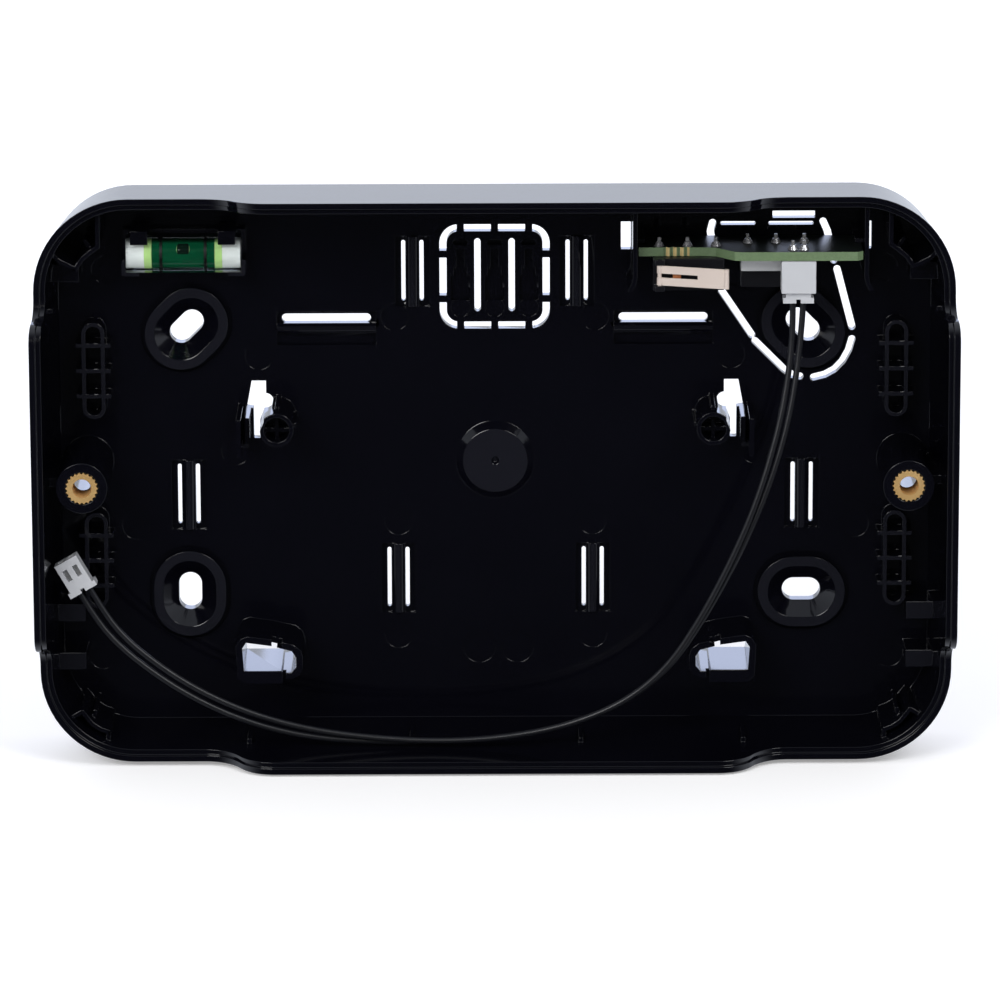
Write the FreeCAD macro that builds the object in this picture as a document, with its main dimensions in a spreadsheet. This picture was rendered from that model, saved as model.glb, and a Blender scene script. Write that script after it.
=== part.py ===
"""Rear housing of a wall-mounted alarm keypad panel, with its level, tamper board and lead.

The frame is the panel's own: X to the right and Z up as it hangs, the wall is the plane
Y = 0 and the open front faces -Y. A height below is a distance from the wall along -Y.
"""
import FreeCAD
import Part
import Sketcher

import math
import os
import re

from FreeCAD import Placement, Rotation, Vector

DOC = FreeCAD.newDocument("AlarmKeypadPanel")
SHEET = DOC.addObject("Spreadsheet::Sheet", "sizes")

# Driving dimensions in millimetres and degrees: alias, value, meaning.
SIZES = [
    ("panel_width", 166.0, "overall width at the rim"),
    ("panel_height", 105.0, "overall height at the rim"),
    ("panel_depth", 29.2, "wall to the raised middle of the rim"),
    ("corner_radius", 17.5, "plan radius of the rim's corners"),
    ("draft_angle", 4.0, "draft of the side walls"),
    ("wall_thick", 2.0, "side wall"),
    ("plate_thick", 2.2, "back plate"),
    ("rear_recess", 1.3, "air behind the back plate"),
    ("rear_margin", 2.2, "rear edge that stands on the wall"),
    ("corner_drop", 7.3, "how far the rim steps down at the corners"),
    ("rim_half_top", 40.0, "half length of the raised rim, top and bottom"),
    ("rim_blend_top", 12.8, "length of the rim's step there"),
    ("rim_half_side", 26.5, "half length of the raised rim at the sides"),
    ("rim_blend_side", 7.5, "length of the rim's step there"),
    ("ledge_width", 0.9, "inner ledge of the rim"),
    ("ledge_drop", 0.8, "step from the rim's lip to its ledge"),
    ("root", 0.5, "how far ribs are rooted in what carries them"),
    ("screw_across", 56.0, "wall screw slots from the centre, sideways"),
    ("screw_up", 24.8, "wall screw slots from the centre, up"),
    ("screw_slot_width", 4.2, "wall screw slot"),
    ("screw_slot_long", 7.0, "wall screw slot, end to end"),
    ("screw_cone_width", 9.7, "countersink at its mouth"),
    ("screw_cone_deep", 2.5, "countersink depth"),
    ("screw_rim_width", 1.75, "flat rim around the countersink"),
    ("screw_rim_high", 1.6, "rim above the plate"),
    ("groove_width", 0.7, "groove around a screw seat"),
    ("groove_deep", 0.45, "groove depth"),
    ("dome_radius", 7.25, "moulding gate dome"),
    ("dome_top_radius", 5.85, "its flat top"),
    ("dome_high", 1.2, "its height"),
    ("ladder_across", 72.8, "ladder ribs from the centre, sideways"),
    ("ladder_up", 17.7, "ladder ribs from the centre, up"),
    ("ladder_width", 4.3, "ladder rib, outside"),
    ("ladder_long", 18.0, "ladder rib, end to end"),
    ("ladder_rail", 0.8, "its rail"),
    ("ladder_pitch", 4.7, "its crossbars"),
    ("ladder_ear", 1.0, "its crossbars' ears"),
    ("ladder_high", 4.75, "its height"),
    ("insert_across", 74.2, "front screw inserts from the centre"),
    ("insert_outside", 5.9, "brass insert"),
    ("insert_bore", 3.3, "tapping bore of its M4 thread"),
    ("insert_long", 6.0, "brass insert"),
    ("insert_flange", 0.5, "plain collar of the insert"),
    ("boss_radius", 4.6, "boss of an insert"),
    ("boss_high", 22.3, "boss above the plate"),
    ("boss_web", 1.6, "web from the boss to the side wall"),
    ("press_gap", 0.02, "radial gap of a pressed or bonded piece"),
    ("tie_width", 6.2, "cable-tie anchor"),
    ("tie_long", 13.0, "cable-tie anchor, end to end"),
    ("tie_flat_long", 18.0, "level cable-tie anchor, end to end"),
    ("tie_slot", 0.75, "its slots"),
    ("tie_bridge", 2.55, "the bridge between them"),
    ("tie_flat_bridge", 1.9, "bridge of a level anchor"),
    ("tie_flat_slot", 1.6, "the one slot of a level anchor"),
    ("tie_deep", 1.0, "recess beside the bridge"),
    ("tie_end", 0.9, "recess beyond a slot's end"),
    ("knockout_up", 34.0, "cable knock-out from the centre, up"),
    ("knockout_width", 20.0, "cable knock-out"),
    ("knockout_high", 19.3, "cable knock-out"),
    ("knockout_radius", 3.5, "its corners"),
    ("cut_width", 1.3, "perforation slots"),
    ("web_width", 1.3, "webs that hold a knock-out"),
    ("knockout_pitch", 6.2, "its three panels"),
    ("keyhole_deep", 1.2, "recess in a panel"),
    ("hook_across", 39.4, "front hook posts from the centre"),
    ("hook_up", 8.7, "front hook posts, up"),
    ("hook_radius", 3.05, "hook post"),
    ("hook_wall", 0.75, "its wall"),
    ("hook_high", 14.0, "its height"),
    ("catch_across", 46.3, "outer catch blade"),
    ("catch_long", 6.9, "its length"),
    ("catch_thick", 0.9, "its thickness"),
    ("tower_across", 41.2, "lower hook towers from the centre"),
    ("tower_up", -34.2, "lower hook towers, up"),
    ("tower_wall", 1.2, "their wall"),
    ("tower_high", 14.0, "their height"),
    ("rib_thick", 0.8, "thin ribs"),
    ("pocket_high", 15.0, "corner pocket ribs"),
    ("level_across", -56.1, "spirit level"),
    ("level_up", 39.6, "spirit level"),
    ("level_long", 20.6, "vial, end to end"),
    ("level_size", 6.0, "vial, across its flats"),
    ("level_bore", 4.6, "its bore"),
    ("level_plug", 3.25, "its end plugs"),
    ("level_low", 5.6, "the vial's back above the wall"),
    ("bubble_radius", 1.2, "bubble"),
    ("bubble_long", 3.4, "bubble"),
    ("bubble_travel", 3.0, "bubble, each way"),
    ("ring_across", 4.0, "reading rings from the vial's centre"),
    ("ring_wide", 0.5, "reading rings"),
    ("board_left", 25.9, "tamper board's left edge"),
    ("board_right", 66.0, "tamper board's right edge"),
    ("board_up", 39.9, "tamper board's underside"),
    ("board_thick", 1.6, "tamper board"),
    ("board_low", 3.8, "its rear edge above the wall"),
    ("board_front", 19.4, "its front edge above the wall"),
    ("board_step", 4.6, "how far its left part is set back"),
    ("board_gap", 0.3, "board to its bracket ribs"),
    ("switch_left", 28.4, "cover switch's left face"),
    ("switch_long", 12.8, "switch case"),
    ("switch_wide", 5.8, "switch case"),
    ("switch_high", 6.5, "switch case, between its long faces"),
    ("switch_gap", 0.1, "switch case under the board"),
    ("cover_front", 16.5, "cover switch's front face above the wall"),
    ("pin_pitch", 5.08, "switch pins"),
    ("plunger_wide", 1.4, "switch plunger"),
    ("plunger_thick", 2.4, "switch plunger"),
    ("plunger_out", 1.2, "switch plunger beyond its face"),
    ("lever_long", 12.8, "lever from its hinge"),
    ("lever_wide", 3.6, "lever"),
    ("lever_thick", 0.35, "lever"),
    ("lever_angle", 18.0, "lever open at rest"),
    ("hinge_radius", 0.35, "lever hinge pin"),
    ("hinge_gap", 0.05, "its running clearance"),
    ("wall_switch_left", 44.3, "wall switch's left face"),
    ("wall_switch_high", 2.9, "wall switch body, down from the board"),
    ("wall_switch_low", 7.2, "its rear face above the wall"),
    ("header_left", 51.4, "board header's left face"),
    ("header_long", 6.2, "board header"),
    ("header_down", 6.0, "board header below the board"),
    ("header_low", 14.5, "its rear face above the wall"),
    ("header_front", 19.2, "its front face above the wall"),
    ("plug_long", 6.6, "plug, along the lead"),
    ("plug_wide", 4.5, "plug body"),
    ("plug_thick", 3.0, "plug body"),
    ("plug_flange", 0.5, "plug's flange beyond its body"),
    ("plug_seated", 4.7, "how deep a plug sits in its header"),
    ("contact_pitch", 2.0, "contacts of the plugs and header"),
    ("header_pin", 0.5, "square pins"),
    ("wire_size", 1.1, "lead wires, diameter"),
    ("fit_gap", 0.1, "gap of a piece that sits in another"),
]
for row_number, (alias, value, meaning) in enumerate(SIZES, start=1):
    SHEET.set(f"A{row_number}", meaning)
    SHEET.set(f"B{row_number}", str(value))
    SHEET.setAlias(f"B{row_number}", alias)
DOC.recompute()
PIECES = []
ALIASES = {alias for alias, _, _ in SIZES}
WORDS = re.compile(r"[a-z_]+")
FRONT = Rotation(Vector(1, 0, 0), 90)  # turns a shape's own Z to -Y, out from the wall

# Heights above the wall, worked out from the sizes.
FACE = "(rear_recess + plate_thick)"
ROOT = f"({FACE} - root)"
BEHIND = "(0 - 1)"
BEYOND = "(panel_depth + 1)"


def size(alias):
    """The value of one cell of the sheet, for shapes made by Part's own functions."""
    return float(SHEET.get(alias))


def bound(expression):
    """Point each size named in an expression at its cell of the sheet."""
    def cell(match):
        word = match.group(0)
        return f"sizes.{word}" if word in ALIASES else word
    return WORDS.sub(cell, str(expression))


def value_of(expression):
    """What an expression of the sizes comes to, for the first guess of a sketch's geometry."""
    return float(SHEET.evalExpression(bound(expression)))


def tie(item, **expressions):
    """Bind properties of an object to expressions of the sizes."""
    for path, expression in expressions.items():
        item.setExpression(path.replace("__", "."), bound(expression))


def place(item, across, up, low, turn="0"):
    """Stand an object on a height above the wall, its own Z pointing out from the wall."""
    item.Placement = Placement(Vector(0, 0, 0), FRONT)
    tie(item, Placement__Base__x=across, Placement__Base__y=f"0 - ({low})", Placement__Base__z=up)
    if turn != "0":
        item.Placement = Placement(Vector(0, 0, 0), Rotation(Vector(0, -1, 0), float(turn)) * FRONT)
    return item


# ---------------------------------------------------------------- solids from primitives
def block(name, across, up, width, height, low, high):
    """A box centred on (across, up), from one height above the wall to another."""
    box = DOC.addObject("Part::Box", name)
    tie(box, Length=width, Width=f"({high}) - ({low})", Height=height)
    tie(box, Placement__Base__x=f"({across}) - ({width}) / 2")
    tie(box, Placement__Base__y=f"0 - ({high})")
    tie(box, Placement__Base__z=f"({up}) - ({height}) / 2")
    return box


def post(name, across, up, radius, low, high):
    """A cylinder that stands out from the wall."""
    cylinder = DOC.addObject("Part::Cylinder", name)
    tie(cylinder, Radius=radius, Height=f"({high}) - ({low})")
    return place(cylinder, across, up, low)


def cone(name, across, up, low_radius, high_radius, low, high):
    """A frustum that stands out from the wall."""
    frustum = DOC.addObject("Part::Cone", name)
    tie(frustum, Radius1=low_radius, Radius2=high_radius, Height=f"({high}) - ({low})")
    return place(frustum, across, up, low)


def level_post(name, left, up, height, radius, length):
    """A cylinder along X, its axis at a height above the wall."""
    cylinder = DOC.addObject("Part::Cylinder", name)
    cylinder.Placement = Placement(Vector(0, 0, 0), Rotation(Vector(0, 1, 0), 90))
    tie(cylinder, Radius=radius, Height=length)
    tie(cylinder, Placement__Base__x=left, Placement__Base__y=f"0 - ({height})", Placement__Base__z=up)
    return cylinder


def upright_post(name, across, bottom, height, radius, length):
    """A cylinder along Z, its axis at a height above the wall."""
    cylinder = DOC.addObject("Part::Cylinder", name)
    tie(cylinder, Radius=radius, Height=length)
    tie(cylinder, Placement__Base__x=across, Placement__Base__y=f"0 - ({height})", Placement__Base__z=bottom)
    return cylinder


def fuse(name, shapes):
    """One solid from several that overlap."""
    joined = DOC.addObject("Part::MultiFuse", name)
    joined.Shapes = shapes
    joined.Refine = True
    return joined


def cut(name, base, tools):
    """A solid less one or more others."""
    tool = tools[0] if len(tools) == 1 else DOC.addObject("Part::Compound", f"{name}_tools")
    if len(tools) > 1:
        tool.Links = tools
    result = DOC.addObject("Part::Cut", name)
    result.Base = base
    result.Tool = tool
    return result


def common(name, shapes):
    """What several solids share."""
    shared = DOC.addObject("Part::MultiCommon", name)
    shared.Shapes = shapes
    return shared


# ---------------------------------------------------------------- solids from sketches
def new_sketch(name):
    """An empty loose sketch whose X and Y are the panel's X and Z."""
    sketch = DOC.addObject("Sketcher::SketchObject", name)
    sketch.Placement = Placement(Vector(0, 0, 0), FRONT)
    return sketch


def constrain(sketch, kind, *references, expression=None):
    """Add a constraint, and bind its value to an expression when it has one."""
    values = references if expression is None else (*references, value_of(expression))
    index = sketch.addConstraint(Sketcher.Constraint(kind, *values))
    if expression is not None:
        sketch.setExpression(f"Constraints[{index}]", bound(expression))


def draw_outline(sketch, points):
    """A closed polygon; each point is a pair of expressions."""
    spots = [Vector(value_of(across), value_of(up), 0) for across, up in points]
    count = len(spots)
    for number in range(count):
        sketch.addGeometry(Part.LineSegment(spots[number], spots[(number + 1) % count]), False)
    for number in range(count):
        constrain(sketch, "Coincident", number, 2, (number + 1) % count, 1)
    for number, (across, up) in enumerate(points):
        constrain(sketch, "DistanceX", -1, 1, number, 1, expression=across)
        constrain(sketch, "DistanceY", -1, 1, number, 1, expression=up)


def draw_slot(sketch, length, width):
    """A slot along the sketch's X with round ends, centred on its origin."""
    radius = value_of(width) / 2
    half = value_of(length) / 2 - radius
    up = Vector(0, 0, 1)
    sketch.addGeometry(Part.LineSegment(Vector(-half, radius, 0), Vector(half, radius, 0)), False)
    right = Part.Circle(Vector(half, 0, 0), up, radius)
    sketch.addGeometry(Part.ArcOfCircle(right, -math.pi / 2, math.pi / 2), False)
    sketch.addGeometry(Part.LineSegment(Vector(half, -radius, 0), Vector(-half, -radius, 0)), False)
    left = Part.Circle(Vector(-half, 0, 0), up, radius)
    sketch.addGeometry(Part.ArcOfCircle(left, math.pi / 2, 3 * math.pi / 2), False)
    constrain(sketch, "Tangent", 0, 2, 1, 2)
    constrain(sketch, "Tangent", 1, 1, 2, 1)
    constrain(sketch, "Tangent", 2, 2, 3, 2)
    constrain(sketch, "Tangent", 3, 1, 0, 1)
    constrain(sketch, "Symmetric", 1, 3, 3, 3, -1, 1)
    constrain(sketch, "Horizontal", 0)
    constrain(sketch, "Radius", 1, expression=f"({width}) / 2")
    constrain(sketch, "DistanceX", 3, 3, 1, 3, expression=f"({length}) - ({width})")


def draw_rounded(sketch, width, height, radius):
    """A rectangle with round corners, centred on the sketch's origin."""
    corner = value_of(radius)
    across = value_of(width) / 2
    rise = value_of(height) / 2
    up = Vector(0, 0, 1)
    inner, top = across - corner, rise - corner
    ends = [
        (Vector(-inner, rise, 0), Vector(inner, rise, 0)),
        (Vector(across, top, 0), Vector(across, -top, 0)),
        (Vector(inner, -rise, 0), Vector(-inner, -rise, 0)),
        (Vector(-across, -top, 0), Vector(-across, top, 0)),
    ]
    for start, end in ends:
        sketch.addGeometry(Part.LineSegment(start, end), False)
    for x, y, first in ((inner, top, 0), (inner, -top, 270), (-inner, -top, 180), (-inner, top, 90)):
        begin = math.radians(first)
        circle = Part.Circle(Vector(x, y, 0), up, corner)
        sketch.addGeometry(Part.ArcOfCircle(circle, begin, begin + math.pi / 2), False)
    for number in range(4):
        # The lines run clockwise and the arcs anticlockwise, so a line's end meets an arc's end.
        constrain(sketch, "Tangent", number, 2, 4 + number, 2)
        constrain(sketch, "Tangent", 4 + number, 1, (number + 1) % 4, 1)
    constrain(sketch, "Horizontal", 0)
    constrain(sketch, "Vertical", 1)
    constrain(sketch, "Symmetric", 4, 3, 6, 3, -1, 1)
    constrain(sketch, "Equal", 4, 5)
    constrain(sketch, "Equal", 4, 6)
    constrain(sketch, "Radius", 4, expression=radius)
    constrain(sketch, "DistanceX", 7, 3, 4, 3, expression=f"({width}) - 2 * ({radius})")
    constrain(sketch, "DistanceY", 5, 3, 4, 3, expression=f"({height}) - 2 * ({radius})")


def raised(name, sketch, low, high):
    """Extrude a loose sketch outwards, from one height above the wall to another."""
    solid = DOC.addObject("Part::Extrusion", name)
    solid.Base = sketch
    solid.DirMode = "Custom"
    solid.Dir = Vector(0, -1, 0)
    solid.Solid = True
    tie(solid, LengthFwd=f"({high}) - ({low})")
    return solid


def prism(name, points, low, high):
    """A polygon extruded outwards from the wall."""
    sketch = new_sketch(f"{name}_outline")
    place(sketch, "0", "0", low)
    draw_outline(sketch, points)
    return raised(name, sketch, low, high)


def slot_prism(name, across, up, length, width, low, high, turn="0"):
    """A slot-shaped solid; at no turn its length runs along X."""
    sketch = new_sketch(f"{name}_outline")
    place(sketch, across, up, low, turn)
    draw_slot(sketch, length, width)
    return raised(name, sketch, low, high)


def rounded_prism(name, across, up, width, height, radius, low, high):
    """A rounded rectangle extruded outwards from the wall."""
    sketch = new_sketch(f"{name}_outline")
    place(sketch, across, up, low)
    draw_rounded(sketch, width, height, radius)
    return raised(name, sketch, low, high)


def wall_run(name, points, thickness, low, high):
    """A thin wall along a line of points: a box for each run and a post at each point."""
    pieces = []
    for number, (start, end) in enumerate(zip(points, points[1:])):
        (x1, z1), (x2, z2) = start, end
        run = DOC.addObject("Part::Box", f"{name}_run_{number}")
        length = f"hypot(({x2}) - ({x1}); ({z2}) - ({z1}))"
        angle = f"atan2(({z2}) - ({z1}); ({x2}) - ({x1}))"
        tie(run, Length=length, Width=f"({high}) - ({low})", Height=thickness)
        run.Placement = Placement(Vector(0, 0, 0), Rotation(Vector(0, -1, 0), 10))
        tie(run, Placement__Rotation__Angle=angle)
        tie(run, Placement__Base__x=f"({x1}) + sin({angle}) * ({thickness}) / 2")
        tie(run, Placement__Base__z=f"({z1}) - cos({angle}) * ({thickness}) / 2")
        tie(run, Placement__Base__y=f"0 - ({high})")
        pieces.append(run)
    for number, (x, z) in enumerate(points):
        pieces.append(post(f"{name}_joint_{number}", x, z, f"({thickness}) / 2", low, high))
    return pieces


# ---------------------------------------------------------------- rear housing: the tray
SIDES = (-1, 1)
HALF_WIDE = "(panel_width / 2)"
HALF_HIGH = "(panel_height / 2)"


def front(height):
    """A height above the back plate's inner face, as a height above the wall."""
    return f"({FACE} + {height})"


def drafted(name, inset, low, high):
    """The tray's drafted plan, inset by a distance, between two heights above the wall."""
    sections = []
    for end, height in (("low", low), ("high", high)):
        lean = f"(panel_depth - ({height})) * tan(draft_angle) + ({inset})"
        sketch = new_sketch(f"{name}_{end}")
        place(sketch, "0", "0", height)
        draw_rounded(sketch, f"panel_width - 2 * ({lean})", f"panel_height - 2 * ({lean})",
                     f"corner_radius - ({lean})")
        sections.append(sketch)
    loft = DOC.addObject("Part::Loft", name)
    loft.Sections = sections
    loft.Solid = True
    loft.Ruled = True
    return loft


def step_profile(half_flat, blend, drop):
    """The rim's line along one side: level in the middle, two ogees down to level ends.

    Each ogee is two equal arcs. Returns edges of (along, height) points, ends far outside.
    """
    high = size("panel_depth") - drop
    step = size("corner_drop")
    radius = (blend ** 2 + step ** 2) / (4 * step)
    sweep = math.asin(blend / 2 / radius)
    far = size("panel_width")
    edges = []
    for side in SIDES:
        top = Vector(side * half_flat, high, 0)
        middle = Vector(side * (half_flat + blend / 2), high - step / 2, 0)
        foot = Vector(side * (half_flat + blend), high - step, 0)
        bend = Vector(side * radius * math.sin(sweep / 2), radius * (1 - math.cos(sweep / 2)), 0)
        edges.append(Part.Arc(top, Vector(top.x + bend.x, top.y - bend.y, 0), middle).toShape())
        edges.append(Part.Arc(middle, Vector(foot.x - bend.x, foot.y + bend.y, 0), foot).toShape())
        edges.append(Part.LineSegment(foot, Vector(side * far, high - step, 0)).toShape())
    edges.append(Part.LineSegment(Vector(-half_flat, high, 0), Vector(half_flat, high, 0)).toShape())
    ceiling = size("panel_depth") + 5
    corners = [Vector(-far, high - step, 0), Vector(-far, ceiling, 0), Vector(far, ceiling, 0),
               Vector(far, high - step, 0)]
    edges += [Part.LineSegment(a, b).toShape() for a, b in zip(corners, corners[1:])]
    return Part.Face(Part.Wire(Part.__sortEdges__(edges)))


def rim_cutter(name, drop):
    """Everything in front of the rim's surface, lowered towards the wall by a drop."""
    far = 2 * size("panel_width")
    along_top = step_profile(size("rim_half_top"), size("rim_blend_top"), drop)
    along_side = step_profile(size("rim_half_side"), size("rim_blend_side"), drop)
    over_top = along_top.extrude(Vector(0, 0, far))
    over_top.translate(Vector(0, 0, -far / 2))
    over_top.rotate(Vector(0, 0, 0), Vector(0, 0, 1), 180)
    over_side = along_side.extrude(Vector(0, 0, far))
    over_side.translate(Vector(0, 0, -far / 2))
    over_side.rotate(Vector(0, 0, 0), Vector(0, 0, 1), 180)
    over_side.rotate(Vector(0, 0, 0), Vector(0, 1, 0), 90)
    cutter = DOC.addObject("Part::Feature", name)
    cutter.Shape = over_top.common(over_side)
    return cutter


# ---------------------------------------------------------------- rear housing: its features
# Each function returns the solids it adds and the solids it cuts.
SCREW_SEATS = ((-1, 1, "45"), (1, 1, "135"), (-1, -1, "90"), (1, -1, "0"))


def screw_seats():
    """Four countersunk wall-screw slots, each in a raised seat that stands on the wall."""
    seats, cuts, grooves = [], [], []
    cone_long = "(screw_slot_long - screw_slot_width + screw_cone_width)"
    for number, (side, rise, turn) in enumerate(SCREW_SEATS):
        name = f"screw_{number}"
        across, up = f"{side} * screw_across", f"{rise} * screw_up"
        spot = (across, up)
        top = front("screw_rim_high")
        edge = "2 * screw_rim_width"
        ring = "2 * (screw_rim_width + groove_width)"
        seats.append(slot_prism(f"{name}_seat", *spot, f"{cone_long} + {edge}",
                                f"screw_cone_width + {edge}", "0", top, turn))
        grooves.append(slot_prism(f"{name}_groove", *spot, f"{cone_long} + {ring}",
                                  f"screw_cone_width + {ring}", f"({FACE} - groove_deep)", BEYOND, turn))
        cuts.append(slot_prism(f"{name}_slot", *spot, "screw_slot_long", "screw_slot_width",
                               BEHIND, BEYOND, turn))
        sections = []
        for end, height, length, width in (
            ("foot", f"({top} - screw_cone_deep)", "screw_slot_long", "screw_slot_width"),
            ("mouth", top, cone_long, "screw_cone_width"),
        ):
            sketch = new_sketch(f"{name}_{end}")
            place(sketch, *spot, height, turn)
            draw_slot(sketch, length, width)
            sections.append(sketch)
        sink = DOC.addObject("Part::Loft", f"{name}_sink")
        sink.Sections = sections
        sink.Solid = True
        sink.Ruled = True
        cuts.append(sink)
    return seats, cuts, grooves


def gate_dome():
    """The low dome over the moulding gate, with its dimple."""
    top = front("dome_high")
    dome = cone("dome", "0", "0", "dome_radius", "dome_top_radius", FACE, top)
    foot = post("dome_foot", "0", "0", "dome_radius", ROOT, FACE)
    dimple = cone("dome_dimple", "0", "0", "dome_high / 3", "dome_high * 2 / 3",
                  f"({top} - dome_high / 2)", f"({top} + 0.1)")
    return [dome, foot], [dimple]


def ladders():
    """Four raised ladder-shaped ribs with round ends and eared crossbars."""
    solids, cuts = [], []
    inner = "(ladder_width - 2 * ladder_rail)"
    top = front("ladder_high")
    reach = "(ladder_long / 2 - ladder_width / 2)"
    bar_edge = "(ladder_pitch + ladder_rail / 2)"
    for side in SIDES:
        for rise in SIDES:
            name = f"ladder_{side + 1}{rise + 1}"
            across, up = f"{side} * ladder_across", f"{rise} * ladder_up"
            solids.append(slot_prism(name, across, up, "ladder_long", "ladder_width", ROOT, top, "90"))
            for step in (-1, 0, 1):
                solids.append(block(f"{name}_bar_{step + 1}", across, f"{up} + {step} * ladder_pitch",
                                    "ladder_width + 2 * ladder_ear", "ladder_rail", ROOT, top))
            for end in SIDES:
                cell = "(ladder_pitch - ladder_rail)"
                cuts.append(block(f"{name}_cell_{end + 1}", across, f"{up} + {end} * ladder_pitch / 2",
                                  inner, cell, FACE, BEYOND))
                cuts.append(block(f"{name}_end_{end + 1}", across,
                                  f"{up} + {end} * ({reach} + {bar_edge}) / 2",
                                  inner, f"{reach} - {bar_edge}", FACE, BEYOND))
                cuts.append(post(f"{name}_round_{end + 1}", across, f"{up} + {end} * {reach}",
                                 f"{inner} / 2", FACE, BEYOND))
    return solids, cuts


def insert_bosses():
    """Two bosses for the brass inserts, bored right through, each with a web to its side wall."""
    solids, cuts = [], []
    top = front("boss_high")
    seat = f"({top} - insert_long)"
    for side in SIDES:
        name = f"boss_{side + 1}"
        across = f"{side} * insert_across"
        solids.append(post(name, across, "0", "boss_radius", ROOT, top))
        solids.append(block(f"{name}_web", f"{side} * (insert_across + {HALF_WIDE} - wall_thick) / 2", "0",
                            f"{HALF_WIDE} - wall_thick - insert_across", "boss_web",
                            ROOT, f"({top} - 3 * boss_web)"))
        cuts.append(post(f"{name}_seat", across, "0", "insert_outside / 2 + press_gap", seat, BEYOND))
        cuts.append(post(f"{name}_bore", across, "0", "insert_outside / 2 - root", BEHIND, BEYOND))
    return solids, cuts


TIE_ANCHORS = (("14.9", "35"), ("56", "0 - 6.5"), ("17.8", "0 - 22.3"))
FLAT_TIE_ANCHOR = ("30.6", "24.5")


def tie_anchors():
    """Cable-tie anchors: a round bridge between two recesses, with slots beside it.

    An upright anchor has a slot on each side of its bridge, a level one has one above it.
    """
    solids, cuts = [], []
    recess_low = f"({FACE} - tie_deep)"
    for side in SIDES:
        spots = [(*spot, "tie_long", False) for spot in TIE_ANCHORS]
        spots.append((*FLAT_TIE_ANCHOR, "tie_flat_long", True))
        for number, (across, up, length, flat) in enumerate(spots):
            name = f"tie_{side + 1}{number}"
            across = f"{side} * {across}"
            slot_long = f"({length} - 2 * tie_end)"
            bridge = "tie_flat_bridge" if flat else "tie_bridge"
            slot = "tie_flat_slot" if flat else "tie_slot"
            strip = f"((tie_width - {bridge}) / 2)"
            crown = f"({FACE} - {bridge} / 4)"
            if flat:
                solids.append(level_post(f"{name}_bridge", f"{across} - {length} / 2", up, crown,
                                         f"{bridge} / 2", length))
            else:
                solids.append(upright_post(f"{name}_bridge", across, f"{up} - {length} / 2", crown,
                                           f"{bridge} / 2", length))
            for edge in SIDES:
                recess_shift = f"{edge} * ({bridge} + {strip}) / 2"
                slot_shift = f"{edge} * ({bridge} + {slot}) / 2"
                if flat:
                    cuts.append(block(f"{name}_recess_{edge + 1}", across, f"{up} + {recess_shift}",
                                      length, strip, recess_low, FACE))
                    if edge > 0:
                        cuts.append(slot_prism(f"{name}_slot_{edge + 1}", across, f"{up} + {slot_shift}",
                                               slot_long, slot, BEHIND, FACE))
                else:
                    cuts.append(block(f"{name}_recess_{edge + 1}", f"{across} + {recess_shift}", up,
                                      strip, length, recess_low, FACE))
                    cuts.append(slot_prism(f"{name}_slot_{edge + 1}", f"{across} + {slot_shift}", up,
                                           slot_long, slot, BEHIND, FACE, "90"))
    return solids, cuts


def cable_knockout():
    """The perforated cable knock-out in the top, with three keyhole-shaped recesses."""
    up = "knockout_up"
    ring = rounded_prism("knockout_ring", "0", up, "knockout_width", "knockout_high",
                         "knockout_radius", BEHIND, FACE)
    kept = [rounded_prism("knockout_kept", "0", up, "knockout_width - 2 * cut_width",
                          "knockout_high - 2 * cut_width", "knockout_radius - cut_width", BEHIND, FACE)]
    for step in (-1, 0, 1):
        kept.append(block(f"knockout_web_{step + 1}", f"{step} * knockout_pitch", up, "web_width",
                          "knockout_high + 1", BEHIND, FACE))
    for step in SIDES:
        kept.append(block(f"knockout_side_web_{step + 1}", "0", f"{up} + {step} * 2 * knockout_pitch / 3",
                          "knockout_width + 1", "web_width", BEHIND, FACE))
    cuts = [cut("knockout_cut", ring, kept)]
    for side in SIDES:
        cuts.append(slot_prism(f"knockout_slot_{side + 1}", f"{side} * knockout_pitch / 2", f"{up} + 0.3",
                               "knockout_high * 0.7", "web_width - 0.15", BEHIND, FACE, "90"))
    for step in (-1, 0, 1):
        across = f"{step} * knockout_pitch"
        low = f"({FACE} - keyhole_deep)"
        cuts.append(block(f"keyhole_neck_{step + 1}", across, f"{up} + 2.4", "1.45", "5.4", low, FACE))
        cuts.append(block(f"keyhole_step_{step + 1}", across, f"{up} + 0.9", "2.4", "1.6", low, FACE))
        cuts.append(block(f"keyhole_room_{step + 1}", across, f"{up} - 2.1", "3.5", "4.6", low, FACE))
        cuts.append(slot_prism(f"keyhole_lead_{step + 1}", across, f"{up} + 6.3", "2.6", "0.9",
                               low, FACE))
        cuts.append(post(f"keyhole_mark_{step + 1}", across, f"{up} - 5.7", "1.7",
                         f"({FACE} - 0.15)", FACE))
    return [], cuts


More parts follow.
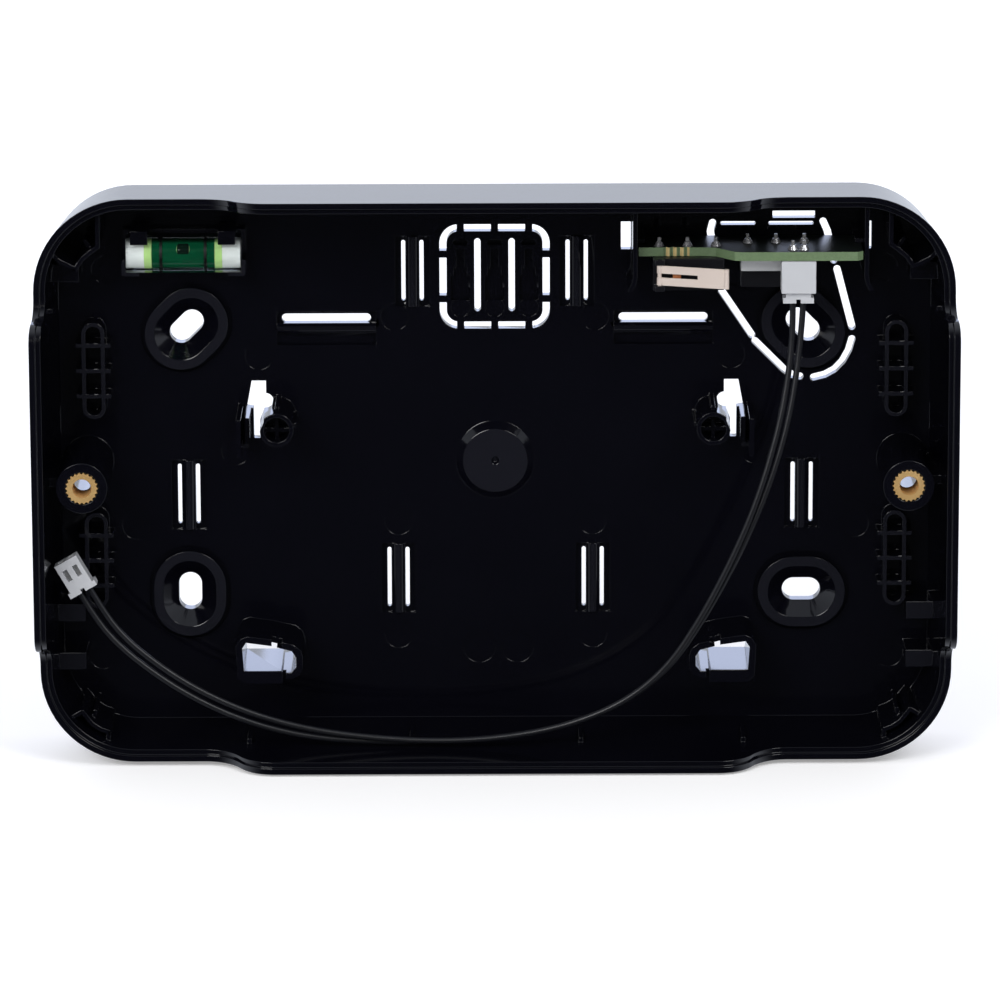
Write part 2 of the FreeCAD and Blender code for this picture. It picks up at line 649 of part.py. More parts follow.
def upper_hooks():
    """Posts and catches for the front's upper hooks, beside their openings."""
    solids, cuts = [], []
    top = front("hook_high")
    for side in SIDES:
        name = f"hook_{side + 1}"
        across = f"{side} * hook_across"
        solids.append(post(f"{name}_post", across, "hook_up", "hook_radius", ROOT, top))
        inner = "(hook_radius - hook_wall)"
        cuts.append(post(f"{name}_room", across, "hook_up", inner, front("8"), BEYOND))
        catch = f"{side} * catch_across"
        solids.append(block(f"{name}_catch", catch, "hook_up - 1.6", "catch_thick", "catch_long",
                            ROOT, top))
        solids.append(block(f"{name}_inner_catch", f"{side} * (catch_across - 1.4)", "hook_up - 1.1",
                            "catch_thick", "catch_long * 0.75", ROOT, front("hook_high - 5")))
        solids.append(block(f"{name}_catch_tie", f"{side} * (catch_across - 0.7)", "hook_up - 4.2",
                            "2 * catch_thick", "catch_thick", ROOT, front("hook_high - 6")))
        for number, (right, rise) in enumerate(((1, 0), (-1, 0), (0, 1), (0, -1))):
            solids.append(block(f"{name}_key_{number}", f"{across} + {right} * hook_radius",
                                f"hook_up + {rise} * hook_radius", "rib_thick", "rib_thick",
                                ROOT, front("hook_high - 4")))
        way = [(f"{side} * ({a})", f"hook_up + ({b})") for a, b in (
            ("41.7", "6.1"), ("44.3", "6.1"), ("45.2", "1.2"), ("44.0", "1.0"),
            ("43.95", "0 - 4.6"), ("42.8", "0 - 4.6"), ("42.8", "0 - 1.2"), ("41.7", "1.5"))]
        cuts.append(prism(f"{name}_way", way if side > 0 else way[::-1], BEHIND, BEYOND))
        cuts.append(post(f"{name}_window", f"{side} * 41.9", "hook_up + 2.2", "1.6", BEHIND, front("9")))
    bars = []
    for side in SIDES:
        across = f"{side} * hook_across"
        for number, (width, height) in enumerate((("2 * hook_radius - 2 * hook_wall + 0.2", "rib_thick"),
                                                  ("rib_thick", "2 * hook_radius - 2 * hook_wall + 0.2"))):
            bars.append(block(f"hook_cross_{side + 1}{number}", across, "hook_up - 0.6", width, height,
                              front("7"), front("11")))
    return solids, cuts, bars


def lower_towers():
    """Hollow towers for the front's lower hooks, open right through to the wall."""
    solids, cuts = [], []
    top = front("tower_high")
    wall = "tower_wall"
    outside = (("0 - 6.1", "2.6"), ("0 - 5.2", "4.0"), ("0 - 4.0", "4.5"), ("0.3", "3.9"), ("4.4", "2.9"),
               ("5.7", "1.9"), ("6.1", "0.7"), ("6.1", "0 - 1.6"), ("5.4", "0 - 2.9"), ("4.2", "0 - 3.5"),
               ("2.4", "0 - 3.5"), ("2.4", "0 - 4.4"), ("0 - 4.6", "0 - 4.4"), ("0 - 5.8", "0 - 3.2"))
    inside = (("0 - 6.1 + {0}", "2.2"), ("0 - 4.2", "4.5 - {0}"), ("0.2", "3.9 - {0}"),
              ("4.1", "2.9 - {0}"), ("6.1 - {0}", "0.5"), ("6.1 - {0}", "0 - 1.3"),
              ("4.0", "0 - 3.5 + {0}"), ("2.4", "0 - 3.5 + {0}"), ("2.2", "0 - 4.4 + 2 * {0}"),
              ("0 - 5.8 + {0}", "0 - 4.4 + 2 * {0}"))
    for side in SIDES:
        name = f"tower_{side + 1}"

        def seen(points):
            """The left tower's points on its own side, or mirrored on the right."""
            spots = [(f"{side} * (tower_across - ({a.format(wall)}))", f"tower_up + ({b.format(wall)})")
                     for a, b in points]
            return spots if side < 0 else spots[::-1]
        solids.append(prism(name, seen(outside), ROOT, top))
        cuts.append(prism(f"{name}_way", seen(inside), BEHIND, BEYOND))
        cuts.append(block(f"{name}_notch", f"{side} * (tower_across - 1.4)", "tower_up + 3.6", "1.9", "2.4",
                          front("tower_high - 3"), BEYOND))
        cuts.append(block(f"{name}_slit", f"{side} * (tower_across - 2.7)", "tower_up - 3.6", "0.6", "2.6",
                          front("tower_high - 2"), BEYOND))
    return solids, cuts


def edge_ribs():
    """Ribs that grow from the side walls: corner pockets, gussets, strength ribs."""
    solids = []
    tall = front("pocket_high")
    pockets = {
        1: (("12", "1.5"), ("12", "9.8"), ("10.6", "10.8"), ("9.1", "12.1"), ("7.9", "13.9"),
            ("6.5", "13.1"), ("5", "12.4"), ("2.5", "9.8")),
        -1: (("12.3", "1.5"), ("12.4", "5.2"), ("11", "5.7"), ("9.5", "6.7"), ("7.7", "9"),
             ("6.3", "8.2"), ("5.1", "7.7"), ("2.5", "7.4")),
    }
    spurs = {1: (("10.6", "10.8"), ("9.6", "9.4")), -1: (("9.5", "6.7"), ("9.9", "8.2"))}
    for side in SIDES:
        for rise in SIDES:
            for kind, points in (("pocket", pockets[rise]), ("spur", spurs[rise])):
                line = [(f"{side} * ({HALF_WIDE} - {a})", f"{rise} * ({HALF_HIGH} - {b})")
                        for a, b in points]
                height = tall if kind == "pocket" else front("pocket_high - 3")
                solids += wall_run(f"{kind}_{side + 1}{rise + 1}", line, "rib_thick", ROOT, height)
        for number, (up, height) in enumerate((("36.7", "9"), ("0 - 26.7", "8"), ("0 - 35.8", "8"))):
            solids.append(block(f"gusset_{side + 1}{number}", f"{side} * ({HALF_WIDE} - 4.2)", up,
                                "8", "3.2", ROOT, front(height)))
        for number, up in enumerate(("31", "0 - 33")):
            solids.append(block(f"nub_{side + 1}{number}", f"{side} * ({HALF_WIDE} - 2)", up,
                                "3.4", "rib_thick", ROOT, front("15")))
        for number, across in enumerate(("45", "15.4")):
            for rise in SIDES:
                solids.append(block(f"strength_{side + 1}{rise + 1}{number}", f"{side} * {across}",
                                    f"{rise} * ({HALF_HIGH} - 2)", "rib_thick", "3.4", ROOT, front("14.5")))
    return solids


def board_bracket():
    """Two ribs that carry the tamper board's ends, with rails above and below it."""
    solids, cuts = [], []
    tall = front("14.6")
    ends = ((-1, "(board_left - board_gap - rib_thick / 2)"),
            (1, "(board_right + board_gap + rib_thick / 2)"))
    for side, across in ends:
        line = [(across, f"{HALF_HIGH} - 1.5"), (across, "board_up - 3.4"),
                (f"{across} + {side} * 0.3", "board_up - 4.6"),
                (f"{across} + {side} * 0.9", "board_up - 5.6")]
        solids += wall_run(f"bracket_{side + 1}", line, "rib_thick", ROOT, tall)
        inward = f"{across} - {side} * (rib_thick / 2 + 0.6)"
        for level, up in (("under", "board_up - fit_gap - rib_thick / 2"),
                          ("over", "board_up + board_thick + fit_gap + rib_thick / 2")):
            solids.append(block(f"rail_{side + 1}_{level}", inward, up, "1.2 + root", "rib_thick",
                                ROOT, front("8")))
        wide = "1.8" if side < 0 else "1.1"
        cuts.append(block(f"bracket_slot_{side + 1}", f"{across} + {side} * (0.5 + {wide} / 2)",
                          "board_up + 1.6", wide, "5.1", BEHIND, FACE))
    return solids, cuts


TAB_OUTLINE = (
    ("left", ((-14.8, 6.4), (-9.3, -1.8))),
    ("left_low", ((-8.7, -2.9), (-3.4, -8.2), (-1.9, -9.2), (-0.5, -9.5))),
    ("right_low", ((2.0, -9.7), (4.0, -9.2), (5.8, -8.2), (7.2, -6.7), (8.3, -4.7), (8.9, -2.6))),
    ("right", ((8.9, -0.3), (6.1, 10.4))),
    ("upper_right", ((5.5, 12.0), (4.3, 17.4), (3.5, 19.2))),
    ("upper_left", ((-15.2, 8.0), (-16.9, 17.4), (-16.5, 19.0))),
)


def break_away_tab():
    """The perforated outline of the tab that stays on the wall if the panel is pulled off."""
    x, z = "screw_across", "screw_up"
    cuts = []
    for name, outline in TAB_OUTLINE:
        line = [(f"{x} + ({right})", f"{z} + ({rise})") for right, rise in outline]
        cuts += wall_run(f"tab_{name}", line, "cut_width", BEHIND, FACE)
    for number, (right, length) in enumerate((("0 - 11.9", "6.4"), ("0 - 2.3", "8.2"))):
        cuts.append(slot_prism(f"tab_line_{number}", f"{x} + ({right})", f"{z} + 18.9", length,
                               "cut_width / 2", BEHIND, FACE))
    cuts.append(block("tab_top", f"{x} - 1.8", f"{z} + 20.5", "7.7", "cut_width", BEHIND, FACE))
    return [], cuts


def level_seat():
    """The window behind the spirit level, its frame and the four clips that hold it."""
    x, z = "level_across", "level_up"
    half, tall = "(level_long / 2)", "(level_size / 2)"
    top = "(level_low + level_size)"
    frame = block("level_frame", x, z, "level_long + 2 * rib_thick", "level_size + 2 * rib_thick",
                  ROOT, "level_low - fit_gap")
    window = block("level_window", x, z, "level_long - 2 * rib_thick", "level_size - 2 * rib_thick",
                   BEHIND, "level_low")
    solids = [frame]
    for side in SIDES:
        edge = f"{x} + {side} * ({half} + fit_gap + rib_thick / 2)"
        solids.append(block(f"level_end_{side + 1}", edge, f"{z} - {tall} + 0.6",
                            "rib_thick", "2.8", ROOT, f"{top} - 1"))
        solids.append(block(f"level_foot_{side + 1}", f"{x} + {side} * ({half} - 0.9)",
                            f"{z} - {tall} - fit_gap - rib_thick / 2", "2.8", "rib_thick", ROOT, f"{top} - 1"))
        clip = f"{x} + {side} * 7.9"
        solids.append(block(f"level_clip_{side + 1}", clip, f"{z} + {tall} + fit_gap + rib_thick",
                            "3.1", "2 * rib_thick", ROOT, f"{top} + rib_thick"))
        solids.append(block(f"level_nose_{side + 1}", clip, f"{z} + {tall}", "3.1", "2 * rib_thick",
                            f"{top} + fit_gap", f"{top} + rib_thick"))
    return solids, [window]


EJECTOR_MARKS = (("42.9", "19.4"), ("17.7", "0 - 11.6"), ("17.8", "0 - 33"), ("65.7", "0 - 12.3"),
                 ("72.2", "0 - 36.8"), ("47.4", "1.6"), ("70.6", "35.5"), ("18.2", "26.6"))


def ejector_marks():
    """Shallow round witness marks of the mould's ejector pins, and two date dials."""
    cuts = []
    for side in SIDES:
        for number, (across, up) in enumerate(EJECTOR_MARKS):
            cuts.append(post(f"ejector_{side + 1}{number}", f"{side} * {across}", up, "2.5",
                             f"({FACE} - 0.12)", FACE))
    solids = []
    for side in SIDES:
        across = f"0.5 + {side} * 3.5"
        cuts.append(post(f"dial_{side + 1}", across, "0 - 35.4", "2.9", f"({FACE} - 0.25)", FACE))
        solids.append(post(f"dial_hub_{side + 1}", across, "0 - 35.4", "1.5", ROOT, f"({FACE} - 0.05)"))
    return solids, cuts


def rear_housing():
    """The whole moulding: a drafted tray with a stepped rim, its features added and cut."""
    outside = drafted("tray_outside", "0", "0", BEYOND)
    cavity = drafted("tray_cavity", "wall_thick", FACE, "(panel_depth + 2)")
    recess = drafted("tray_recess", "rear_margin", BEHIND, "rear_recess")
    seats, seat_cuts, grooves = screw_seats()
    tray = cut("tray", outside, [cavity, recess, *grooves])
    inside = [*seats, *edge_ribs()]
    cuts = [*seat_cuts]
    late = []
    for make in (gate_dome, ladders, insert_bosses, tie_anchors, cable_knockout, upper_hooks,
                 lower_towers, board_bracket, break_away_tab, level_seat, ejector_marks):
        added, taken, *kept = make()
        inside += added
        cuts += taken
        late += kept[0] if kept else []
    within = common("ribs_within", [fuse("ribs", inside), drafted("tray_bounds", "wall_thick / 2", "0", BEYOND)])
    filled = fuse("tray_and_ribs", [tray, within])
    cut_tray = cut("tray_cut", filled, cuts)
    lip = common("lip_step", [rim_cutter("ledge_surface", size("ledge_drop")),
                              drafted("lip_inside", "wall_thick - ledge_width", "root", "(panel_depth + 2)")])
    trimmed = cut("tray_trimmed", cut_tray, [rim_cutter("rim_surface", 0), lip])
    named(fuse("housing", [trimmed, *late]), "rear_housing")


# ---------------------------------------------------------------- bodies made of sketched features
def new_body(label):
    """A PartDesign body that is one of the panel's pieces."""
    body = DOC.addObject("PartDesign::Body", label)
    body.Label = label
    PIECES.append(body)
    return body


def named(item, label):
    """Give a finished solid its label and list it as a piece."""
    item.Label = label
    PIECES.append(item)
    return item


def body_sketch(body, name, plane, height):
    """A sketch on one of the body's origin planes, moved along the plane's normal."""
    sketch = body.newObject("Sketcher::SketchObject", name)
    support = next(f for f in body.Origin.OriginFeatures if f.Role == plane)
    sketch.AttachmentSupport = (support, [""])
    sketch.MapMode = "FlatFace"
    tie(sketch, AttachmentOffset__Base__z=height)
    return sketch


def draw_rectangle(sketch, left, bottom, right, top):
    """A rectangle between two corners, each a pair of expressions."""
    draw_outline(sketch, [(left, bottom), (right, bottom), (right, top), (left, top)])


def draw_circle(sketch, across, up, radius):
    """A circle whose centre and radius are expressions."""
    centre = Vector(value_of(across), value_of(up), 0)
    circle = Part.Circle(centre, Vector(0, 0, 1), value_of(radius))
    index = sketch.addGeometry(circle, False)
    constrain(sketch, "DistanceX", -1, 1, index, 3, expression=across)
    constrain(sketch, "DistanceY", -1, 1, index, 3, expression=up)
    constrain(sketch, "Radius", index, expression=radius)


def pad(body, sketch, length):
    """Add material along the sketch's normal."""
    feature = body.newObject("PartDesign::Pad", f"{sketch.Name}_pad")
    feature.Profile = sketch
    tie(feature, Length=length)
    body.Tip = feature
    return feature


def pocket(body, sketch, length):
    """Cut along the sketch's normal, and check that something went."""
    DOC.recompute()
    before = body.Shape.Volume
    feature = body.newObject("PartDesign::Pocket", f"{sketch.Name}_pocket")
    feature.Profile = sketch
    feature.Reversed = True
    tie(feature, Length=length)
    body.Tip = feature
    DOC.recompute()
    if not body.Shape.Volume < before - 1e-6:
        raise RuntimeError(f"{feature.Name} cuts nothing")
    return feature


# Out from the wall: XZ_Plane's normal is -Y, so a sketch on it has the panel's X and Z.
OUTWARD = "XZ_Plane"
LEVELLED = "XY_Plane"
SIDEWAYS = "YZ_Plane"


# ---------------------------------------------------------------- inserts
def brass_inserts():
    """Threaded inserts: a knurled barrel with a plain collar and a groove, bored for the thread."""
    top = front("boss_high")
    for side, label in ((-1, "brass_insert_left"), (1, "brass_insert_right")):
        across = f"{side} * insert_across"
        body = new_body(label)
        barrel = body_sketch(body, f"{label}_barrel", OUTWARD, f"{top} - insert_long")
        draw_circle(barrel, across, "0", "insert_outside / 2")
        draw_circle(barrel, across, "0", "insert_bore / 2")
        pad(body, barrel, "insert_long")
        groove = body_sketch(body, f"{label}_groove", OUTWARD, f"{top} - insert_long * 0.6")
        draw_circle(groove, across, "0", "insert_outside / 2 + 1")
        draw_circle(groove, across, "0", "insert_outside / 2 - insert_flange")
        pocket(body, groove, "insert_long / 6")


# ---------------------------------------------------------------- spirit level
def spirit_level():
    """A clear square vial with plugs, liquid, a bubble and two reading rings."""
    x, z = "level_across", "level_up"
    middle = "(level_low + level_size / 2)"
    left = f"({x} - level_long / 2)"
    room = "(level_long - 2 * level_plug)"
    liquid_radius = "(level_bore / 2 - 2 * fit_gap)"
    bubble_up = f"{z} + bubble_radius / 2"
    case = new_body("vial_tube")
    outline = body_sketch(case, "vial_outline", SIDEWAYS, left)
    draw_rectangle(outline, "0 - level_low - level_size", f"{z} - level_size / 2",
                   "0 - level_low", f"{z} + level_size / 2")
    draw_circle(outline, f"0 - {middle}", z, "level_bore / 2")
    pad(case, outline, "level_long")
    for side, label in ((-1, "vial_plug_left"), (1, "vial_plug_right")):
        body = new_body(label)
        start = left if side < 0 else f"({x} + level_long / 2 - level_plug)"
        plug = body_sketch(body, f"{label}_round", SIDEWAYS, start)
        draw_circle(plug, f"0 - {middle}", z, "level_bore / 2 - press_gap")
        pad(body, plug, "level_plug")
        ring_at = f"{x} + {side} * ring_across - ring_wide / 2"
        ring = new_body("vial_ring_left" if side < 0 else "vial_ring_right")
        band = body_sketch(ring, f"{ring.Name}_round", SIDEWAYS, ring_at)
        draw_circle(band, f"0 - {middle}", z, "level_bore / 2 - press_gap")
        draw_circle(band, f"0 - {middle}", z, f"{liquid_radius} + press_gap")
        pad(ring, band, "ring_wide")
    liquid = level_post("liquid_round", f"{x} - {room} / 2 + press_gap", z, middle, liquid_radius,
                        f"{room} - 2 * press_gap")
    way = "(bubble_long + 2 * bubble_travel)"
    channel = level_post("bubble_way", f"{x} - {way} / 2 - fit_gap", bubble_up, middle,
                         "bubble_radius + fit_gap", f"{way} + 2 * fit_gap")
    named(cut("vial_liquid", liquid, [channel]), "vial_liquid")
    core = level_post("bubble_core", f"{x} - bubble_long / 2", bubble_up, middle, "bubble_radius",
                      "bubble_long")
    bubble = DOC.addObject("Part::Fillet", "vial_bubble")
    bubble.Base = core
    DOC.recompute()
    rounds = [number for number, edge in enumerate(core.Shape.Edges, start=1) if edge.Closed]
    radius = size("bubble_radius") * 0.8
    bubble.Edges = [(number, radius, radius) for number in rounds]
    named(bubble, "vial_bubble")


# ---------------------------------------------------------------- tamper board and its switches
COVER_PINS = [f"(switch_left + 1.2 + {number} * pin_pitch)" for number in range(3)]
WALL_PINS = [f"(wall_switch_left + 1.3 + {number} * pin_pitch)" for number in range(3)]
HEADER_MIDDLE = "(header_left + header_long / 2)"
HEADER_PINS = [f"({HEADER_MIDDLE} + {side} * contact_pitch / 2)" for side in SIDES]
COVER_PIN_ROW = "(cover_front - switch_high / 2)"
WALL_PIN_ROW = "(wall_switch_low + switch_high / 2)"
HEADER_ROW = "((header_low + header_front) / 2)"
HINGE_ACROSS = "(switch_left + 1.2)"
HINGE_OUT = "(cover_front + 0.7)"
PLUNGER_ACROSS = "(switch_left + 4.3)"
BOARD_TOP = "(board_up + board_thick)"
PIN_WIDE = "(header_pin + 0.1)"
EVERY_PIN = ([(across, COVER_PIN_ROW) for across in COVER_PINS]
             + [(across, WALL_PIN_ROW) for across in WALL_PINS]
             + [(across, HEADER_ROW) for across in HEADER_PINS])


def tamper_board():
    """The level board: its front edge is set back on the left, with plated half holes there."""
    body = new_body("tamper_board")
    sketch = body_sketch(body, "board_outline", LEVELLED, "board_up")
    back = "(board_front - board_step)"
    draw_outline(sketch, [
        ("board_left", "0 - board_low"), ("board_right", "0 - board_low"),
        ("board_right", "1 - board_front"), ("board_right - 1", "0 - board_front"),
        ("switch_left + 16", "0 - board_front"), ("switch_left + 14.6", "0.4 - board_front"),
        ("switch_left + 11.4", f"0 - 0.4 - {back}"), ("switch_left + 10", f"0 - {back}"),
        ("board_left", f"0 - {back}")])
    pad(body, sketch, "board_thick")
    holes = body_sketch(body, "board_holes", LEVELLED, "board_up - 1")
    for across, row in EVERY_PIN:
        draw_circle(holes, across, f"0 - {row}", f"{PIN_WIDE} * 0.75 + press_gap")
    for number in range(4):
        draw_circle(holes, f"switch_left + 2.3 + {number} * 1.27", f"0 - {back}", "0.35")
    pocket(body, holes, "board_thick + 2")


def pins(label, columns, row, bottom, wide):
    """A row of square pins that stand up through the board, in one node."""
    top = f"{BOARD_TOP} + 1.6"
    shapes = []
    for number, across in enumerate(columns):
        pin = DOC.addObject("Part::Box", f"{label}_{number}")
        tie(pin, Length=wide, Width=wide, Height=f"{top} - ({bottom})")
        tie(pin, Placement__Base__x=f"{across} - ({wide}) / 2", Placement__Base__z=bottom)
        tie(pin, Placement__Base__y=f"0 - {row} - ({wide}) / 2")
        shapes.append(pin)
    group = DOC.addObject("Part::Compound", label)
    group.Links = shapes
    return named(group, label)


def switch_case(label, left, low, high, bottom, top):
    """A switch case of two moulded halves is one rounded block here; its holes come after."""
    body = new_body(label)
    sketch = body_sketch(body, f"{label}_outline", OUTWARD, low)
    draw_rectangle(sketch, left, bottom, f"{left} + switch_long", top)
    pad(body, sketch, f"({high}) - ({low})")
    return body


def cover_switch():
    """Cover tamper switch: case, leaf contact, plunger that faces the cover, hinged lever, pins."""
    top = "(board_up - switch_gap)"
    bottom = f"({top} - switch_wide)"
    middle = f"({top} - switch_wide / 2)"
    face = "cover_front"
    low = "(cover_front - switch_high)"
    body = switch_case("cover_switch_case", "switch_left", low, face, bottom, top)
    room = body_sketch(body, "cover_switch_room", OUTWARD, f"{low} + 1")
    draw_rectangle(room, "switch_left + 0.7", f"{bottom} + 0.8", "switch_left + switch_long - 0.7",
                   f"{top} - 0.8")
    pocket(body, room, f"{face} - {low} - 1.8")
    way = body_sketch(body, "cover_plunger_way", OUTWARD, f"{face} - 1")
    draw_rectangle(way, f"{PLUNGER_ACROSS} - plunger_wide / 2 - fit_gap",
                   f"{middle} - plunger_thick / 2 - fit_gap",
                   f"{PLUNGER_ACROSS} + plunger_wide / 2 + fit_gap",
                   f"{middle} + plunger_thick / 2 + fit_gap")
    pocket(body, way, "2")
    slots = body_sketch(body, "cover_pin_ways", LEVELLED, f"{top} - 1")
    for across in COVER_PINS:
        draw_circle(slots, across, f"0 - {COVER_PIN_ROW}", f"{PIN_WIDE} * 0.75 + press_gap")
    pocket(body, slots, "2")
    ears = body_sketch(body, "cover_switch_ears", LEVELLED, bottom)
    draw_rectangle(ears, "switch_left + 0.3", f"0 - {face} - 1.3", "switch_left + 2.1", f"0 - {face}")
    pad(body, ears, "switch_wide")
    gap = body_sketch(body, "cover_switch_ear_gap", LEVELLED, f"{middle} - lever_wide / 2 - fit_gap")
    draw_rectangle(gap, "switch_left", f"0 - {face} - 2", "switch_left + 2.4", f"0 - {face}")
    pocket(body, gap, "lever_wide + 2 * fit_gap")
    pin_way = body_sketch(body, "cover_hinge_way", LEVELLED, f"{bottom} - 1")
    draw_circle(pin_way, HINGE_ACROSS, f"0 - {HINGE_OUT}", "hinge_radius + hinge_gap")
    pocket(body, pin_way, "switch_wide + 2")
    plunger = new_body("cover_switch_plunger")
    stem = body_sketch(plunger, "cover_stem", OUTWARD, f"{face} - 1.9")
    draw_rectangle(stem, f"{PLUNGER_ACROSS} - plunger_wide / 2", f"{middle} - plunger_thick / 2",
                   f"{PLUNGER_ACROSS} + plunger_wide / 2", f"{middle} + plunger_thick / 2")
    pad(plunger, stem, "1.9 + plunger_out")
    leaf = block("cover_leaf_arm", "switch_left + 6.4", middle, "10", "1.6",
                 f"{face} - 3.4", f"{face} - 3.1")
    foot = block("cover_leaf_foot", "switch_left + 1.7", middle, "0.6", "1.6",
                      f"{low} + 1", f"{face} - 3.3")
    named(fuse("cover_leaf", [leaf, foot]), "cover_switch_contact")
    cover_lever(middle)
    pins("cover_switch_pins", COVER_PINS, COVER_PIN_ROW, f"{top} - 0.7", PIN_WIDE)


def cover_lever(middle):
    """The forked lever, bent open at rest, with its hinge pin."""
    start = "0.2"
    length = f"(lever_long - {start})"
    strap = DOC.addObject("Part::Box", "lever_strap")
    tie(strap, Length=length, Width="lever_thick", Height="lever_wide")
    slot = DOC.addObject("Part::Box", "lever_slot")
    tie(slot, Length="lever_long * 0.55", Width="lever_thick + 2", Height="lever_wide / 5")
    tie(slot, Placement__Base__x="0 - 0.1", Placement__Base__y="0 - 1",
        Placement__Base__z="lever_wide * 0.4")
    tip = DOC.addObject("Part::Cylinder", "lever_tip")
    tie(tip, Radius="lever_thick * 1.3", Height="lever_wide")
    tie(tip, Placement__Base__x=f"{length} - lever_thick", Placement__Base__y="lever_thick * 0.8")
    strap_cut = cut("lever_blank", strap, [slot])
    blade = fuse("lever_blade", [strap_cut, tip])
    blade.Placement = Placement(Vector(0, 0, 0), Rotation(Vector(0, 0, -1), 10))
    tie(blade, Placement__Rotation__Angle="lever_angle")
    tie(blade, Placement__Base__z=f"{middle} - lever_wide / 2")
    tie(blade, Placement__Base__x=f"{HINGE_ACROSS} + {start} * cos(lever_angle) "
                                  "- lever_thick / 2 * sin(lever_angle)")
    tie(blade, Placement__Base__y=f"0 - {HINGE_OUT} - {start} * sin(lever_angle) "
                                  "- lever_thick / 2 * cos(lever_angle)")
    pin = DOC.addObject("Part::Cylinder", "lever_pin")
    tie(pin, Radius="hinge_radius", Height="switch_wide - 0.4")
    tie(pin, Placement__Base__x=HINGE_ACROSS, Placement__Base__y=f"0 - {HINGE_OUT}",
        Placement__Base__z=f"{middle} - switch_wide / 2 + 0.2")
    barrels = []
    for number, start_share in enumerate(("0 - 0.5", "0.1")):
        barrel = DOC.addObject("Part::Cylinder", f"lever_barrel_{number}")
        tie(barrel, Radius="hinge_radius + 0.15", Height="lever_wide * 0.4")
        tie(barrel, Placement__Base__x=HINGE_ACROSS, Placement__Base__y=f"0 - {HINGE_OUT}",
            Placement__Base__z=f"{middle} + ({start_share}) * lever_wide")
        barrels.append(barrel)
    named(fuse("cover_switch_lever", [blade, pin, *barrels]), "cover_switch_lever")


def wall_switch():
    """Wall tamper switch: its plunger faces the wall and rests just off the break-away tab."""
    top = "(board_up - switch_gap)"
    bottom = f"({top} - switch_wide)"
    split = f"({top} - wall_switch_high)"
    middle = split
    low = "wall_switch_low"
    high = "(wall_switch_low + switch_high)"
    left = "wall_switch_left"
    stem_at = f"({left} + 4.4)"
    for label, foot, head in (("wall_switch_case", split, top), ("wall_switch_base", bottom, split)):
        body = switch_case(label, left, low, high, foot, head)
        room = body_sketch(body, f"{label}_room", LEVELLED, f"{split} - 1")
        inner = f"({head} - 0.7)" if label == "wall_switch_case" else f"{split}"
        floor = f"({split} - 1)" if label == "wall_switch_case" else f"({foot} + 0.7)"
        tie(room, AttachmentOffset__Base__z=floor)
        draw_rectangle(room, f"{left} + 0.7", f"0.8 - {high}", f"{left} + switch_long - 0.7", f"0 - {low} - 0.8")
        pocket(body, room, f"{inner} - {floor}")
        way = body_sketch(body, f"{label}_way", OUTWARD, f"{low} - 1")
        draw_rectangle(way, f"{stem_at} - plunger_wide / 2 - fit_gap", f"{middle} - plunger_thick / 2 - fit_gap",
                       f"{stem_at} + plunger_wide / 2 + fit_gap", f"{middle} + plunger_thick / 2 + fit_gap")
        pocket(body, way, "2")
        if label == "wall_switch_case":
            slots = body_sketch(body, "wall_pin_ways", LEVELLED, f"{top} - 1")
            for across in WALL_PINS:
                draw_circle(slots, across, f"0 - {WALL_PIN_ROW}", f"{PIN_WIDE} * 0.75 + press_gap")
            pocket(body, slots, "2")
    plunger = new_body("wall_switch_plunger")
    stem = body_sketch(plunger, "wall_stem", OUTWARD, f"{FACE} + 3 * fit_gap")
    draw_rectangle(stem, f"{stem_at} - plunger_wide / 2", f"{middle} - plunger_thick / 2",
                   f"{stem_at} + plunger_wide / 2", f"{middle} + plunger_thick / 2")
    pad(plunger, stem, f"{low} + 1.4 - {FACE} - 3 * fit_gap")
    leaf = block("wall_switch_leaf_arm", f"{left} + 6.4", middle, "10", "1.6",
                 f"{high} - 2.4", f"{high} - 2.1")
    foot = block("wall_switch_leaf_foot", f"{left} + 1.7", middle, "0.6", "1.6",
                 f"{high} - 2.2", f"{high} - 0.8")
    named(fuse("wall_switch_leaf", [leaf, foot]), "wall_switch_contact")
    pins("wall_switch_pins", WALL_PINS, WALL_PIN_ROW, f"{top} - 0.6", PIN_WIDE)


# ---------------------------------------------------------------- header, plugs and lead
def board_header():
    """The board's two-way header, open downwards, with slots for the plug's lances."""
    body = new_body("board_header")
    bottom = "(board_up - switch_gap - header_down)"
    sketch = body_sketch(body, "header_outline", OUTWARD, "header_low")
    draw_rectangle(sketch, "header_left", bottom, "header_left + header_long", "board_up - switch_gap")
    pad(body, sketch, "header_front - header_low")
    room = body_sketch(body, "header_room", LEVELLED, f"{bottom} - 1")
    half_wide, half_thick = "(plug_wide / 2 + fit_gap)", "(plug_thick / 2 + fit_gap)"
    draw_rectangle(room, f"{HEADER_MIDDLE} - {half_wide}", f"0 - {HEADER_ROW} - {half_thick}",
                   f"{HEADER_MIDDLE} + {half_wide}", f"0 - {HEADER_ROW} + {half_thick}")
    pocket(body, room, "1 + plug_seated + fit_gap")
    ways = body_sketch(body, "header_pin_ways", LEVELLED, f"{bottom} - 1")
    for across in HEADER_PINS:
        draw_circle(ways, across, f"0 - {HEADER_ROW}", "header_pin * 0.75 + press_gap")
    pocket(body, ways, "header_down + 2")
    pins("header_pins", HEADER_PINS, HEADER_ROW, f"{bottom} + header_down - plug_seated + 1", "header_pin")


